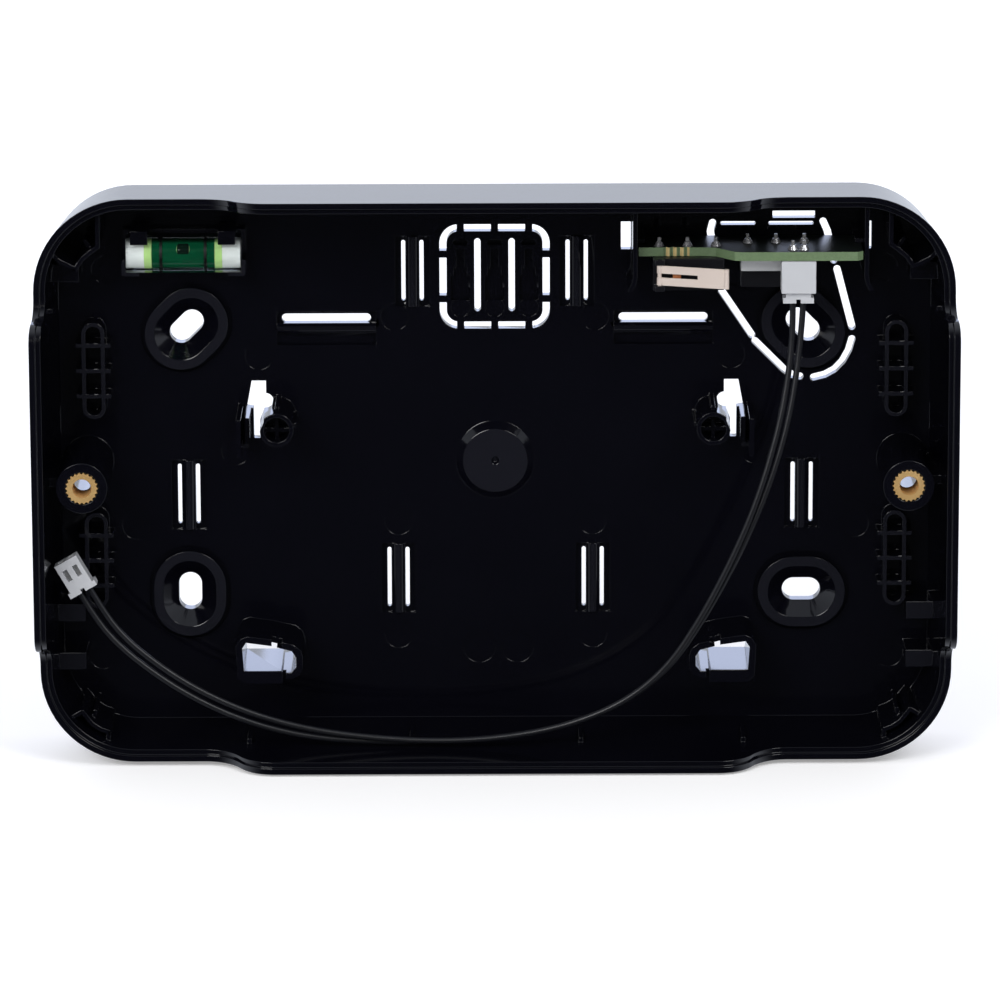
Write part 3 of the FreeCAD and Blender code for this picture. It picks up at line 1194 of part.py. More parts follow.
def plug_solids(label):
    """A two-way crimp housing along +Z from its wire end at the origin, and its contacts."""
    half_wide, half_thick = "(plug_wide / 2)", "(plug_thick / 2)"
    shell = DOC.addObject("Part::Box", f"{label}_shell")
    tie(shell, Length="plug_wide", Width="plug_thick", Height="plug_long")
    tie(shell, Placement__Base__x=f"0 - {half_wide}", Placement__Base__y=f"0 - {half_thick}")
    flange = DOC.addObject("Part::Box", f"{label}_flange")
    tie(flange, Length="plug_wide + 2 * plug_flange", Width="plug_thick", Height="1")
    tie(flange, Placement__Base__x=f"0 - {half_wide} - plug_flange", Placement__Base__y=f"0 - {half_thick}")
    tools = []
    for number, side in enumerate(SIDES):
        across = f"{side} * contact_pitch / 2"
        way = DOC.addObject("Part::Box", f"{label}_way_{number}")
        tie(way, Length="wire_size + 0.2", Width="wire_size + 0.2", Height="plug_long + 2")
        tie(way, Placement__Base__x=f"{across} - (wire_size + 0.2) / 2",
            Placement__Base__y="0 - (wire_size + 0.2) / 2", Placement__Base__z="0 - 1")
        lance = DOC.addObject("Part::Box", f"{label}_lance_{number}")
        tie(lance, Length="0.9", Width="plug_thick", Height="2.2")
        tie(lance, Placement__Base__x=f"{across} - 0.45", Placement__Base__y=f"0 - {half_thick} - 0.1 - plug_thick / 2",
            Placement__Base__z="plug_long * 0.45")
        tools += [way, lance]
    notch = DOC.addObject("Part::Box", f"{label}_notch")
    tie(notch, Length="0.8", Width="plug_thick + 1", Height="0.9")
    tie(notch, Placement__Base__x="0 - 0.4", Placement__Base__y=f"0 - {half_thick} - 0.5", Placement__Base__z="0 - 0.2")
    housing = cut(f"{label}_housing", fuse(f"{label}_whole", [shell, flange]), [*tools, notch])
    contacts = []
    for number, side in enumerate(SIDES):
        box = DOC.addObject("Part::Box", f"{label}_contact_{number}")
        tie(box, Length="wire_size", Width="wire_size", Height="plug_long - 2.4")
        tie(box, Placement__Base__x=f"{side} * contact_pitch / 2 - wire_size / 2",
            Placement__Base__y="0 - wire_size / 2", Placement__Base__z="1.6")
        bore = DOC.addObject("Part::Box", f"{label}_contact_bore_{number}")
        tie(bore, Length="header_pin + 0.1", Width="header_pin + 0.1", Height="plug_long")
        tie(bore, Placement__Base__x=f"{side} * contact_pitch / 2 - (header_pin + 0.1) / 2",
            Placement__Base__y="0 - (header_pin + 0.1) / 2", Placement__Base__z="1.2 + 1.6")
        contacts.append(cut(f"{label}_tube_{number}", box, [bore]))
    pair = DOC.addObject("Part::Compound", f"{label}_pair")
    pair.Links = contacts
    return housing, pair


# The free plug's wire end (X, Y, Z) and its turn from upright, where the lead leaves it lying.
FREE_PLUG_SPOT = Vector(-74.5, -18.5, -20.6)
FREE_PLUG_TURN = 30.0

# Each wire's route from the board plug down and round to the free plug: X, Y, Z in millimetres.
LEFT_ROUTE = [
    (53.5, -16.85, 33.5), (53.6, -17.1, 28.0), (53.0, -18.3, 20.5), (51.6, -20.0, 12.1),
    (49.3, -21.5, 3.4), (46.4, -22.6, -5.4), (42.3, -23.1, -14.8), (37.3, -23.2, -24.6),
    (31.2, -23.0, -34.2), (23.5, -22.4, -40.9), (13.4, -21.7, -45.4), (2.0, -21.3, -47.8),
    (-10.0, -21.0, -48.6), (-22.5, -20.6, -48.0), (-34.3, -20.3, -46.4), (-45.2, -20.1, -43.3),
    (-55.1, -19.9, -38.6), (-63.1, -19.5, -33.1), (-68.2, -19.0, -28.5), (-71.6, -18.5, -23.7),
    (-74.43, -18.5, -18.71),
]
RIGHT_ROUTE = [
    (55.5, -16.85, 33.5), (55.2, -17.1, 28.0), (54.4, -18.3, 20.4), (53.0, -20.0, 11.8),
    (50.6, -21.3, 3.0), (47.4, -21.9, -5.8), (43.1, -22.2, -15.2), (37.9, -22.1, -25.0),
    (31.6, -21.8, -34.6), (23.7, -21.2, -41.2), (13.4, -20.5, -45.8), (2.0, -20.0, -48.1),
    (-10.0, -19.8, -48.9), (-22.5, -19.8, -48.9), (-34.7, -20.0, -47.9), (-45.8, -20.1, -44.9),
    (-55.9, -19.9, -40.1), (-64.2, -19.5, -34.4), (-69.6, -19.0, -29.6), (-73.2, -18.5, -24.85),
    (-76.17, -18.5, -19.71),
]


def wire(label, route):
    """A round wire along straight runs joined by tangent arcs, made as one swept solid."""
    radius = size("wire_size") / 2
    points = [Vector(*point) for point in route]
    edges = []
    start = points[0]
    for before, corner, after in zip(points, points[1:], points[2:]):
        back, on = (before - corner).normalize(), (after - corner).normalize()
        turn = math.pi - back.getAngle(on)
        reach = 0.45 * min(before.distanceToPoint(corner), corner.distanceToPoint(after))
        bend = reach / math.tan(turn / 2)
        first, last = corner + back * reach, corner + on * reach
        inward = (back + on).normalize()
        middle = corner + inward * (bend / math.cos(turn / 2) - bend)
        edges.append(Part.LineSegment(start, first).toShape())
        edges.append(Part.Arc(first, middle, last).toShape())
        print(f"{label}: turn {math.degrees(turn):.1f} degrees, radius {bend:.1f} mm")
        start = last
    edges.append(Part.LineSegment(start, points[-1]).toShape())
    path = Part.Wire(edges)
    ring = Part.Wire(Part.makeCircle(radius, points[0], points[1] - points[0]))
    solid = path.makePipeShell([ring], True, False)
    ratio = solid.Volume / (math.pi * radius ** 2 * path.Length)
    print(f"{label}: length {path.Length:.1f} mm, volume over section times length {ratio:.4f}")
    tube = DOC.addObject("Part::Feature", label)
    tube.Shape = solid
    return named(tube, label)


def plugs_and_lead():
    """The plug in the board's header, the free plug at the lead's end, and the two wires."""
    seat = "(board_up - switch_gap - header_down - plug_long + plug_seated)"
    for label, contacts in (("board_plug", "board_plug_contacts"), ("free_plug", "free_plug_contacts")):
        for solid, name in zip(plug_solids(label), (label, contacts)):
            named(solid, name)
            if label == "board_plug":
                tie(solid, Placement__Base__x=HEADER_MIDDLE, Placement__Base__y=f"0 - {HEADER_ROW}",
                    Placement__Base__z=seat)
            else:
                turn = Rotation(Vector(0, 1, 0), -FREE_PLUG_TURN)
                solid.Placement = Placement(FREE_PLUG_SPOT, turn)
    wire("wire_left", LEFT_ROUTE)
    wire("wire_right", RIGHT_ROUTE)


def solder_joints():
    """A cone of solder round each pin, on the board's upper side."""
    cones = []
    for number, (across, row) in enumerate(EVERY_PIN):
        foot = DOC.addObject("Part::Cone", f"solder_{number}")
        tie(foot, Radius1="0.95", Radius2="0.55", Height="0.8")
        bore = DOC.addObject("Part::Cylinder", f"solder_bore_{number}")
        tie(bore, Radius=f"{PIN_WIDE} * 0.75 + press_gap", Height="2")
        for item, low in ((foot, "0"), (bore, "0 - 0.5")):
            tie(item, Placement__Base__x=across, Placement__Base__y=f"0 - {row}")
            tie(item, Placement__Base__z=f"{BOARD_TOP} + {low}")
        cones.append(cut(f"solder_cone_{number}", foot, [bore]))
    group = DOC.addObject("Part::Compound", "solder")
    group.Links = cones
    named(group, "solder_joints")


def check_and_write():
    """Stop on any failed object or bad solid, then write one STEP file for each piece."""
    DOC.recompute()
    for item in DOC.Objects:
        if "Invalid" in item.State or "Error" in item.State:
            raise RuntimeError(f"{item.Name} failed: {item.State} {item.getStatusString()}")
    for piece in PIECES:
        if piece.Shape.isNull() or not piece.Shape.isValid():
            raise RuntimeError(f"{piece.Label} has no valid shape")
    os.makedirs("parts", exist_ok=True)
    for piece in PIECES:
        piece.Shape.exportStep(f"parts/{piece.Label}.step")
        print(f"{piece.Label}: {len(piece.Shape.Solids)} solid(s), {piece.Shape.Volume:.2f} mm3")


rear_housing()
brass_inserts()
spirit_level()
tamper_board()
cover_switch()
wall_switch()
board_header()
plugs_and_lead()
solder_joints()
check_and_write()
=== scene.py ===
"""Builds the looks of an alarm keypad panel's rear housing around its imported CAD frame."""

import logging
import math
from dataclasses import dataclass
from typing import Iterable, Sequence

import bmesh
import bpy
import numpy as np
from mathutils import Matrix, Vector

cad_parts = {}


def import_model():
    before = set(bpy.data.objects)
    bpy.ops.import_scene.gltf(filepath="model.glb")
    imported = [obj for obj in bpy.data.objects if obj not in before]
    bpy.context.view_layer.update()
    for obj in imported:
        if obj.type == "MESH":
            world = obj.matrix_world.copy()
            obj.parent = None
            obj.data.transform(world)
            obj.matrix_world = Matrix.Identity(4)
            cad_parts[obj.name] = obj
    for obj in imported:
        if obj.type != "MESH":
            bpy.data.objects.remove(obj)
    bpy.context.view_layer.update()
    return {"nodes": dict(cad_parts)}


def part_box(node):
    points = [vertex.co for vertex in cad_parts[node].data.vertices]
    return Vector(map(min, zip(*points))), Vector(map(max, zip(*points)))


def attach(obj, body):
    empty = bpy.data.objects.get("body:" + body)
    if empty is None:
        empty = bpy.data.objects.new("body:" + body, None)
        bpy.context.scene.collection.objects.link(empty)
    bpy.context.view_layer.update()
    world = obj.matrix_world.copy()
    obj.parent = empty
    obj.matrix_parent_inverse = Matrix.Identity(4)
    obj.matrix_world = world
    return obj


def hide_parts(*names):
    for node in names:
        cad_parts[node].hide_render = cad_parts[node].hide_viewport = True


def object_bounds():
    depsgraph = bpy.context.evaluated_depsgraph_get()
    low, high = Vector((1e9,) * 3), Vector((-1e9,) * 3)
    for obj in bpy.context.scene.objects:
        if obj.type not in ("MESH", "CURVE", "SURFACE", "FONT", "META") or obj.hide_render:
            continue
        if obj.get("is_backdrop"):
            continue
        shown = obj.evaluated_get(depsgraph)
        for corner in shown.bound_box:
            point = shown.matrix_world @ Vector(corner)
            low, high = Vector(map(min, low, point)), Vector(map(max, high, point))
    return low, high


LOG = logging.getLogger("panel")
MILLI = 0.001
Point = tuple[float, float, float]
Colour = tuple[float, float, float]
WHITE: Colour = (1.0, 1.0, 1.0)

# Edges that bend less than this are shaded smooth.
SMOOTH_BELOW = 28.0
# The same for edges that stay sharp behind the plate's face.
SMOOTH_BELOW_BEHIND = 8.0
# Edges that bend more than this are rounded.
ROUND_ABOVE = 35.0
# What an edge that doesn't have exactly two faces counts as.
OPEN_EDGE = 180.0
# Points nearer than this are one point, in metres: a CAD node's corners, and a made mesh's doubles.
MERGE_CORNERS = 2e-6
MERGE_DOUBLES = 1e-7
# How strongly the largest face at a corner sets the way that the corner is shaded.
FLAT_WEIGHT = 90
PLASTIC_IOR = 1.5


def metres(points: Iterable[Point]) -> list[Point]:
    """Millimetres made metres."""
    return [tuple(value * MILLI for value in point) for point in points]


# ---------------------------------------------------------------- finishes
class Nodes:
    """A small helper that adds and joins the nodes of one material or world."""

    def __init__(self, tree: bpy.types.NodeTree) -> None:
        """Starts from an empty tree."""
        self.tree = tree
        tree.nodes.clear()

    def add(self, kind: str, **inputs: object) -> bpy.types.Node:
        """Adds one node.

        Args:
            kind: the node's type, without its ShaderNode prefix.
            inputs: attributes of the node, or values of its input sockets with _ for a space.

        Returns:
            The new node.
        """
        node = self.tree.nodes.new("ShaderNode" + kind)
        for name, value in inputs.items():
            if hasattr(node, name):
                setattr(node, name, value)
            else:
                node.inputs[name.replace("_", " ")].default_value = value
        return node

    def join(self, out: bpy.types.NodeSocket, into: bpy.types.NodeSocket) -> None:
        """Links an output to an input."""
        self.tree.links.new(out, into)

    def mix(self, factor: bpy.types.NodeSocket, low: Colour | bpy.types.NodeSocket,
            high: Colour | bpy.types.NodeSocket) -> bpy.types.NodeSocket:
        """A colour that goes from low to high as factor goes from 0 to 1."""
        blend = self.add("Mix", data_type="RGBA")
        self.join(factor, blend.inputs[0])
        for colour, into in ((low, blend.inputs[6]), (high, blend.inputs[7])):
            if isinstance(colour, bpy.types.NodeSocket):
                self.join(colour, into)
            else:
                into.default_value = (*colour, 1.0)
        return blend.outputs[2]

    def span(self, value: bpy.types.NodeSocket, start: float, end: float) -> bpy.types.NodeSocket:
        """Maps value from 0 at start to 1 at end, and holds it outside."""
        made = self.add("MapRange")
        made.inputs["From Min"].default_value = start
        made.inputs["From Max"].default_value = end
        self.join(value, made.inputs["Value"])
        return made.outputs[0]

    def maths(self, operation: str, value: bpy.types.NodeSocket,
              other: float = 0.0) -> bpy.types.NodeSocket:
        """One Math node.

        Args:
            operation: its operation.
            value: its first number.
            other: its second number, where it has one.

        Returns:
            Its result.
        """
        made = self.add("Math", operation=operation)
        self.join(value, made.inputs[0])
        made.inputs[1].default_value = other
        return made.outputs[0]

    def place(self, output: str = "Object") -> bpy.types.Node:
        """Splits one of the texture coordinates.

        Args:
            output: which of them.

        Returns:
            The node whose outputs are its X, Y and Z.
        """
        where, split = self.add("TexCoord"), self.add("SeparateXYZ")
        self.join(where.outputs[output], split.inputs[0])
        return split

    def product(self, one: bpy.types.NodeSocket, two: bpy.types.NodeSocket) -> bpy.types.NodeSocket:
        """Multiplies two values."""
        made = self.add("Math", operation="MULTIPLY")
        self.join(one, made.inputs[0])
        self.join(two, made.inputs[1])
        return made.outputs[0]

    def noise(self, scale: float, detail: float = 3.0) -> bpy.types.NodeSocket:
        """A noise on the piece's own coordinates, from 0 to 1."""
        place = self.add("TexCoord")
        grain = self.add("TexNoise", Scale=scale, Detail=detail)
        self.join(place.outputs["Object"], grain.inputs["Vector"])
        return grain.outputs[0]


# Where along Y raised faces start and stop being painted paler as a sheen, in metres, and how
# forward they look.
RAISED_FROM = (-0.0038, -0.0042)
RAISED_TO = (-0.0118, -0.0116)
LOOKS_FORWARD = (-0.90, -0.98)
# Tint of the painted sheen: bluish, like a reflection of the pale studio.
PAINTED_SHEEN_TINT: Colour = (1.0, 1.04, 1.30)


@dataclass(frozen=True)
class Look:
    """What every finish shares: a name, and a material that is made once."""

    name: str

    def material(self) -> bpy.types.Material:
        """Makes the material, or gives the one that is ready.

        Returns:
            The material of this finish.
        """
        ready = bpy.data.materials.get(f"{self.name}_look")
        if ready:
            return ready
        made = bpy.data.materials.new(f"{self.name}_look")
        made.use_nodes = True
        nodes = Nodes(made.node_tree)
        self.shade(nodes, nodes.add("OutputMaterial").inputs[0])
        return made

    def shade(self, nodes: Nodes, out: bpy.types.NodeSocket) -> None:
        """Adds this finish's nodes.

        Args:
            nodes: where they go.
            out: the material's surface, which they're joined to.
        """
        raise NotImplementedError


@dataclass(frozen=True)
class Finish(Look):
    """A solid finish: two close colours in a soft mottle, and a fine bump.

    Fields: the two colours, roughness and how far it wanders, metal share, the bump's height in
    metres and its grain per metre, the mottle per metre, and how much paler raised faces are
    painted, a painted sheen that stands in for light.
    """

    dark: Colour
    light: Colour
    rough: float = 0.4
    rough_wander: float = 0.05
    metal: float = 0.0
    bump: float = 0.00001
    grain: float = 2500.0
    mottle: float = 120.0
    painted_sheen: float = 0.0

    def shade(self, nodes: Nodes, out: bpy.types.NodeSocket) -> None:
        """Adds this finish's nodes and joins them to out."""
        shader = nodes.add("BsdfPrincipled", Metallic=self.metal, IOR=PLASTIC_IOR)
        colour = nodes.mix(nodes.noise(self.mottle), self.dark, self.light)
        # Painted sheen: raised faces that look forward are painted paler, standing in for the light
        # they catch.
        if self.painted_sheen:
            colour = self.with_painted_sheen(nodes, colour)
        nodes.join(colour, shader.inputs["Base Color"])
        spread = nodes.add("MapRange")
        spread.inputs["To Min"].default_value = self.rough - self.rough_wander
        spread.inputs["To Max"].default_value = self.rough + self.rough_wander
        nodes.join(nodes.noise(self.grain / 6), spread.inputs["Value"])
        nodes.join(spread.outputs[0], shader.inputs["Roughness"])
        if self.bump:
            bump = nodes.add("Bump", Strength=1.0, Distance=self.bump)
            nodes.join(nodes.noise(self.grain, 2.0), bump.inputs["Height"])
            nodes.join(bump.outputs[0], shader.inputs["Normal"])
        nodes.join(shader.outputs[0], out)

    def with_painted_sheen(self, nodes: Nodes, colour: bpy.types.NodeSocket) -> bpy.types.NodeSocket:
        """The colour with a painted sheen: paler on faces that look forward and stand just in front
        of the plate.

        Args:
            nodes: the material's nodes.
            colour: the colour elsewhere.

        Returns:
            The colour everywhere.
        """
        depth = nodes.place().outputs["Y"]
        raised = nodes.span(depth, *RAISED_FROM)
        low = nodes.span(depth, *RAISED_TO)
        ahead = nodes.span(nodes.place("Normal").outputs["Y"], *LOOKS_FORWARD)
        both = nodes.product(nodes.product(raised, low), ahead)
        pale = tuple(part + self.painted_sheen * share for part, share in zip(self.light, PAINTED_SHEEN_TINT))
        return nodes.mix(both, colour, pale)


@dataclass(frozen=True)
class ThinClear(Look):
    """Clear plastic that is seen through without bending.

    Fields: tint, the shine's roughness and index, the mottle per metre and its paler share.
    """

    tint: Colour
    rough: float = 0.04
    ior: float = 1.35
    mottle: float = 300.0
    paler: float = 1.03

    def shade(self, nodes: Nodes, out: bpy.types.NodeSocket) -> None:
        """Adds this finish's nodes and joins them to out."""
        through, shine = nodes.add("BsdfTransparent"), nodes.add("BsdfGlossy")
        pale = tuple(min(1.0, part * self.paler) for part in self.tint)
        tinted = nodes.mix(nodes.noise(self.mottle), self.tint, pale)
        nodes.join(tinted, through.inputs["Color"])
        shine.inputs["Roughness"].default_value = self.rough
        share, blend = nodes.add("Fresnel"), nodes.add("MixShader")
        share.inputs["IOR"].default_value = self.ior
        nodes.join(share.outputs[0], blend.inputs[0])
        nodes.join(through.outputs[0], blend.inputs[1])
        nodes.join(shine.outputs[0], blend.inputs[2])
        nodes.join(blend.outputs[0], out)


@dataclass(frozen=True)
class LiquidFinish(Look):
    """The level's liquid, and its bubble: dark in the middle and pale green at each end. On the
    bubble the dark middle is a painted dark reflection and the pale ends are a painted highlight.

    Fields: the two colours, the middle along X, half the dark part's length and half its edge.
    """

    dark: Colour
    pale: Colour
    middle: float
    half_dark: float
    half_edge: float = 0.00008

    def shade(self, nodes: Nodes, out: bpy.types.NodeSocket) -> None:
        """Adds this finish's nodes and joins them to out."""
        shader = nodes.add("BsdfPrincipled", Roughness=0.12, IOR=1.36)
        past = nodes.maths("SUBTRACT", nodes.place().outputs["X"], self.middle)
        away = nodes.maths("ABSOLUTE", past)
        edge = nodes.span(away, self.half_dark - self.half_edge, self.half_dark + self.half_edge)
        nodes.join(nodes.mix(edge, self.dark, self.pale), shader.inputs["Base Color"])
        nodes.join(shader.outputs[0], out)


@dataclass(frozen=True)
class BoardFinish(Look):
    """A circuit board: solder mask on its faces, laminate and plated half holes on its edges.

    Fields: the mask's, laminate's and plating's colours, where the half holes are along X and
    their pitch, the two mottles per metre, and how level a face with mask on it is.
    """

    mask: tuple[Colour, Colour]
    laminate: tuple[Colour, Colour]
    plated: Colour
    plated_span: tuple[float, float]
    plated_pitch: float
    mask_mottle: float = 900.0
    laminate_mottle: float = 2600.0
    level_from: float = 0.5

    def shade(self, nodes: Nodes, out: bpy.types.NodeSocket) -> None:
        """Adds this finish's nodes and joins them to out."""
        shader = nodes.add("BsdfPrincipled", Roughness=0.34)
        across = nodes.place().outputs["X"]
        facing, upward = nodes.add("NewGeometry"), nodes.add("SeparateXYZ")
        nodes.join(facing.outputs["True Normal"], upward.inputs[0])
        level = nodes.maths("ABSOLUTE", upward.outputs["Z"])
        face = nodes.maths("GREATER_THAN", level, self.level_from)
        mask = nodes.mix(nodes.noise(self.mask_mottle), *self.mask)
        edge = nodes.mix(nodes.noise(self.laminate_mottle, 5.0), *self.laminate)
        stripe = nodes.maths("PINGPONG", across, self.plated_pitch / 2)
        bright = nodes.maths("GREATER_THAN", stripe, self.plated_pitch / 4)
        past = nodes.maths("GREATER_THAN", across, self.plated_span[0])
        short = nodes.maths("LESS_THAN", across, self.plated_span[1])
        shown = nodes.product(nodes.product(past, short), bright)
        both = nodes.mix(face, nodes.mix(shown, edge, self.plated), mask)
        nodes.join(both, shader.inputs["Base Color"])
        nodes.join(shader.outputs[0], out)


# The housing's raised forward faces get a painted sheen: a paler, bluish colour standing in for
# light.
HOUSING = Finish("housing_black", (0.0014, 0.0014, 0.0030), (0.0022, 0.0022, 0.0044), 0.10, 0.025,
                 bump=0.0000015, grain=700.0, mottle=60.0, painted_sheen=0.0055)
BRASS = Finish("brass", (0.68, 0.40, 0.14), (0.92, 0.62, 0.27), 0.36, 0.08, 0.60, 0.000006, 6000.0)
BOARD = BoardFinish("board", ((0.004, 0.006, 0.006), (0.009, 0.012, 0.011)),
                    ((0.085, 0.135, 0.065), (0.16, 0.235, 0.12)), (0.55, 0.42, 0.18),
                    (0.0304, 0.0350), 0.00127)
SWITCH = Finish("switch_black", (0.003, 0.003, 0.005), (0.005, 0.005, 0.008), 0.34, 0.06,
                bump=0.000005)
GREY_CASE = Finish("switch_grey", (0.50, 0.51, 0.51), (0.57, 0.58, 0.58), 0.5, 0.06, bump=0.000008)
PLUNGER = Finish("plunger_orange", (0.36, 0.11, 0.03), (0.42, 0.14, 0.04), 0.42, 0.06)
NICKEL = Finish("lever_nickel", (0.58, 0.49, 0.43), (0.64, 0.55, 0.49), 0.50, 0.06, 0.12)
TIN = Finish("contact_metal", (0.55, 0.55, 0.55), (0.70, 0.70, 0.70), 0.28, 0.06, 0.8)
SOLDER = Finish("solder", (0.66, 0.66, 0.68), (0.80, 0.80, 0.82), 0.22, 0.06, 0.85, mottle=900.0)
NYLON = Finish("nylon_white", (0.43, 0.44, 0.46), (0.50, 0.51, 0.53), 0.42, 0.05, bump=0.000006)
INSULATION = Finish("wire_black", (0.0045, 0.005, 0.007), (0.0075, 0.008, 0.011), 0.36, 0.05,
                    bump=0.000006)
RING = Finish("ring_black", (0.004, 0.004, 0.004), (0.007, 0.007, 0.007), 0.5, 0.05)
ACRYLIC = ThinClear("clear_acrylic", (0.95, 0.97, 0.96))
PLUG = Finish("vial_plug", (0.80, 0.83, 0.82), (0.95, 0.97, 0.96), 0.15, 0.05, mottle=700.0)
LIQUID = LiquidFinish("level_green", (0.0015, 0.075, 0.030), (0.54, 0.80, 0.30), -0.0561, 0.0057)
# The bubble's dark middle is a painted dark reflection and its pale ends a painted highlight.
BUBBLE = LiquidFinish("bubble_air", (0.004, 0.014, 0.009), (0.30, 0.52, 0.22), -0.0561, 0.0011)

CAD_FINISHES: dict[str, Look] = {
    "rear_housing": HOUSING, "brass_insert_left": BRASS, "brass_insert_right": BRASS,
    "vial_tube": ACRYLIC, "vial_plug_left": PLUG, "vial_plug_right": PLUG,
    "vial_ring_left": RING, "vial_ring_right": RING, "vial_liquid": LIQUID, "vial_bubble": BUBBLE,
    "tamper_board": BOARD, "cover_switch_case": SWITCH, "cover_switch_plunger": PLUNGER,
    "cover_switch_contact": TIN, "cover_switch_lever": NICKEL, "cover_switch_pins": TIN,
    "wall_switch_case": GREY_CASE, "wall_switch_base": SWITCH, "wall_switch_plunger": PLUNGER,
    "wall_switch_contact": TIN, "wall_switch_pins": TIN, "board_header": NYLON,
    "header_pins": TIN, "board_plug": NYLON, "board_plug_contacts": TIN, "free_plug": NYLON,
    "free_plug_contacts": TIN, "wire_left": INSULATION, "wire_right": INSULATION,
    "solder_joints": SOLDER,
}


# ---------------------------------------------------------------- meshes
def piece(name: str, points: np.ndarray, faces: Sequence[Sequence[int]], finish: Look,
          body: str, smooth: bool = True) -> bpy.types.Object:
    """Makes one mesh piece, in metres and in place.

    Args:
        name: the piece's name.
        points: its vertices, n by 3.
        faces: its faces as rows of vertex numbers.
        finish: its finish.
        body: the CAD body that it rides on.
        smooth: whether its faces are shaded smooth.

    Returns:
        The object.
    """
    mesh = bpy.data.meshes.new(name)
    mesh.from_pydata(points.tolist(), [], [list(map(int, face)) for face in faces])
    mesh.validate()
    if smooth:
        mesh.shade_smooth()
    mesh.materials.append(finish.material())
    made = bpy.data.objects.new(name, mesh)
    bpy.context.collection.objects.link(made)
    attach(made, body)
    return made


def rounded_copy(source: bpy.types.Object, name: str, body: str, finish: Look,
                 edge: float, sharp_behind: float, segments: int = 2) -> bpy.types.Object:
    """A copy of a CAD node with its corners merged and its sharp edges rounded.

    Args:
        source: the CAD node.
        name: the new piece's name.
        body: the CAD body that it rides on.
        finish: its finish.
        edge: how wide its rounded edges are, in metres.
        sharp_behind: the Y past which edges stay sharp, in metres.
        segments: how many faces cross a rounded edge.

    Returns:
        The new piece, which stands for the node.
    """
    mesh = source.data.copy()
    mesh.name = name
    work = bmesh.new()
    work.from_mesh(mesh)
    bmesh.ops.remove_doubles(work, verts=work.verts, dist=MERGE_CORNERS)
    weights = work.edges.layers.float.new("bevel_weight_edge")
    for side in work.edges:
        ahead = min(end.co.y for end in side.verts) < sharp_behind
        bend = math.degrees(side.calc_face_angle(0.0)) if side.is_manifold else OPEN_EDGE
        side[weights] = 1.0 if ahead and ROUND_ABOVE < bend < OPEN_EDGE else 0.0
        side.smooth = bend < (SMOOTH_BELOW if ahead else SMOOTH_BELOW_BEHIND)
    for face in work.faces:
        face.smooth = True
    work.to_mesh(mesh)
    work.free()
    mesh.materials.clear()
    mesh.materials.append(finish.material())
    made = bpy.data.objects.new(name, mesh)
    bpy.context.collection.objects.link(made)
    bevel = made.modifiers.new("rounded", "BEVEL")
    bevel.width = edge
    bevel.segments = segments
    bevel.limit_method = "WEIGHT"
    bevel.use_clamp_overlap = False
    flat = made.modifiers.new("flat_faces_stay_flat", "WEIGHTED_NORMAL")
    flat.mode = "FACE_AREA"
    flat.weight = FLAT_WEIGHT
    flat.keep_sharp = True
    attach(made, body)
    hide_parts(source.name)
    return made


# ---------------------------------------------------------------- camera, light and background
@dataclass(frozen=True)
class Lamp:
    """A soft rectangular lamp that faces the origin: its place, size, power and colour."""

    name: str
    place: Point
    wide: float
    high: float
    power: float
    colour: Colour = WHITE

    def build(self) -> None:
        """Adds the lamp, which the camera doesn't see."""
        data = bpy.data.lights.new(self.name, "AREA")
        data.shape = "RECTANGLE"
        data.size, data.size_y, data.energy = self.wide, self.high, self.power
        data.color = self.colour
        made = bpy.data.objects.new(self.name, data)
        bpy.context.collection.objects.link(made)
        made.location = self.place
        made.rotation_euler = (-Vector(self.place)).to_track_quat("-Z", "Y").to_euler()
        made.visible_camera = False


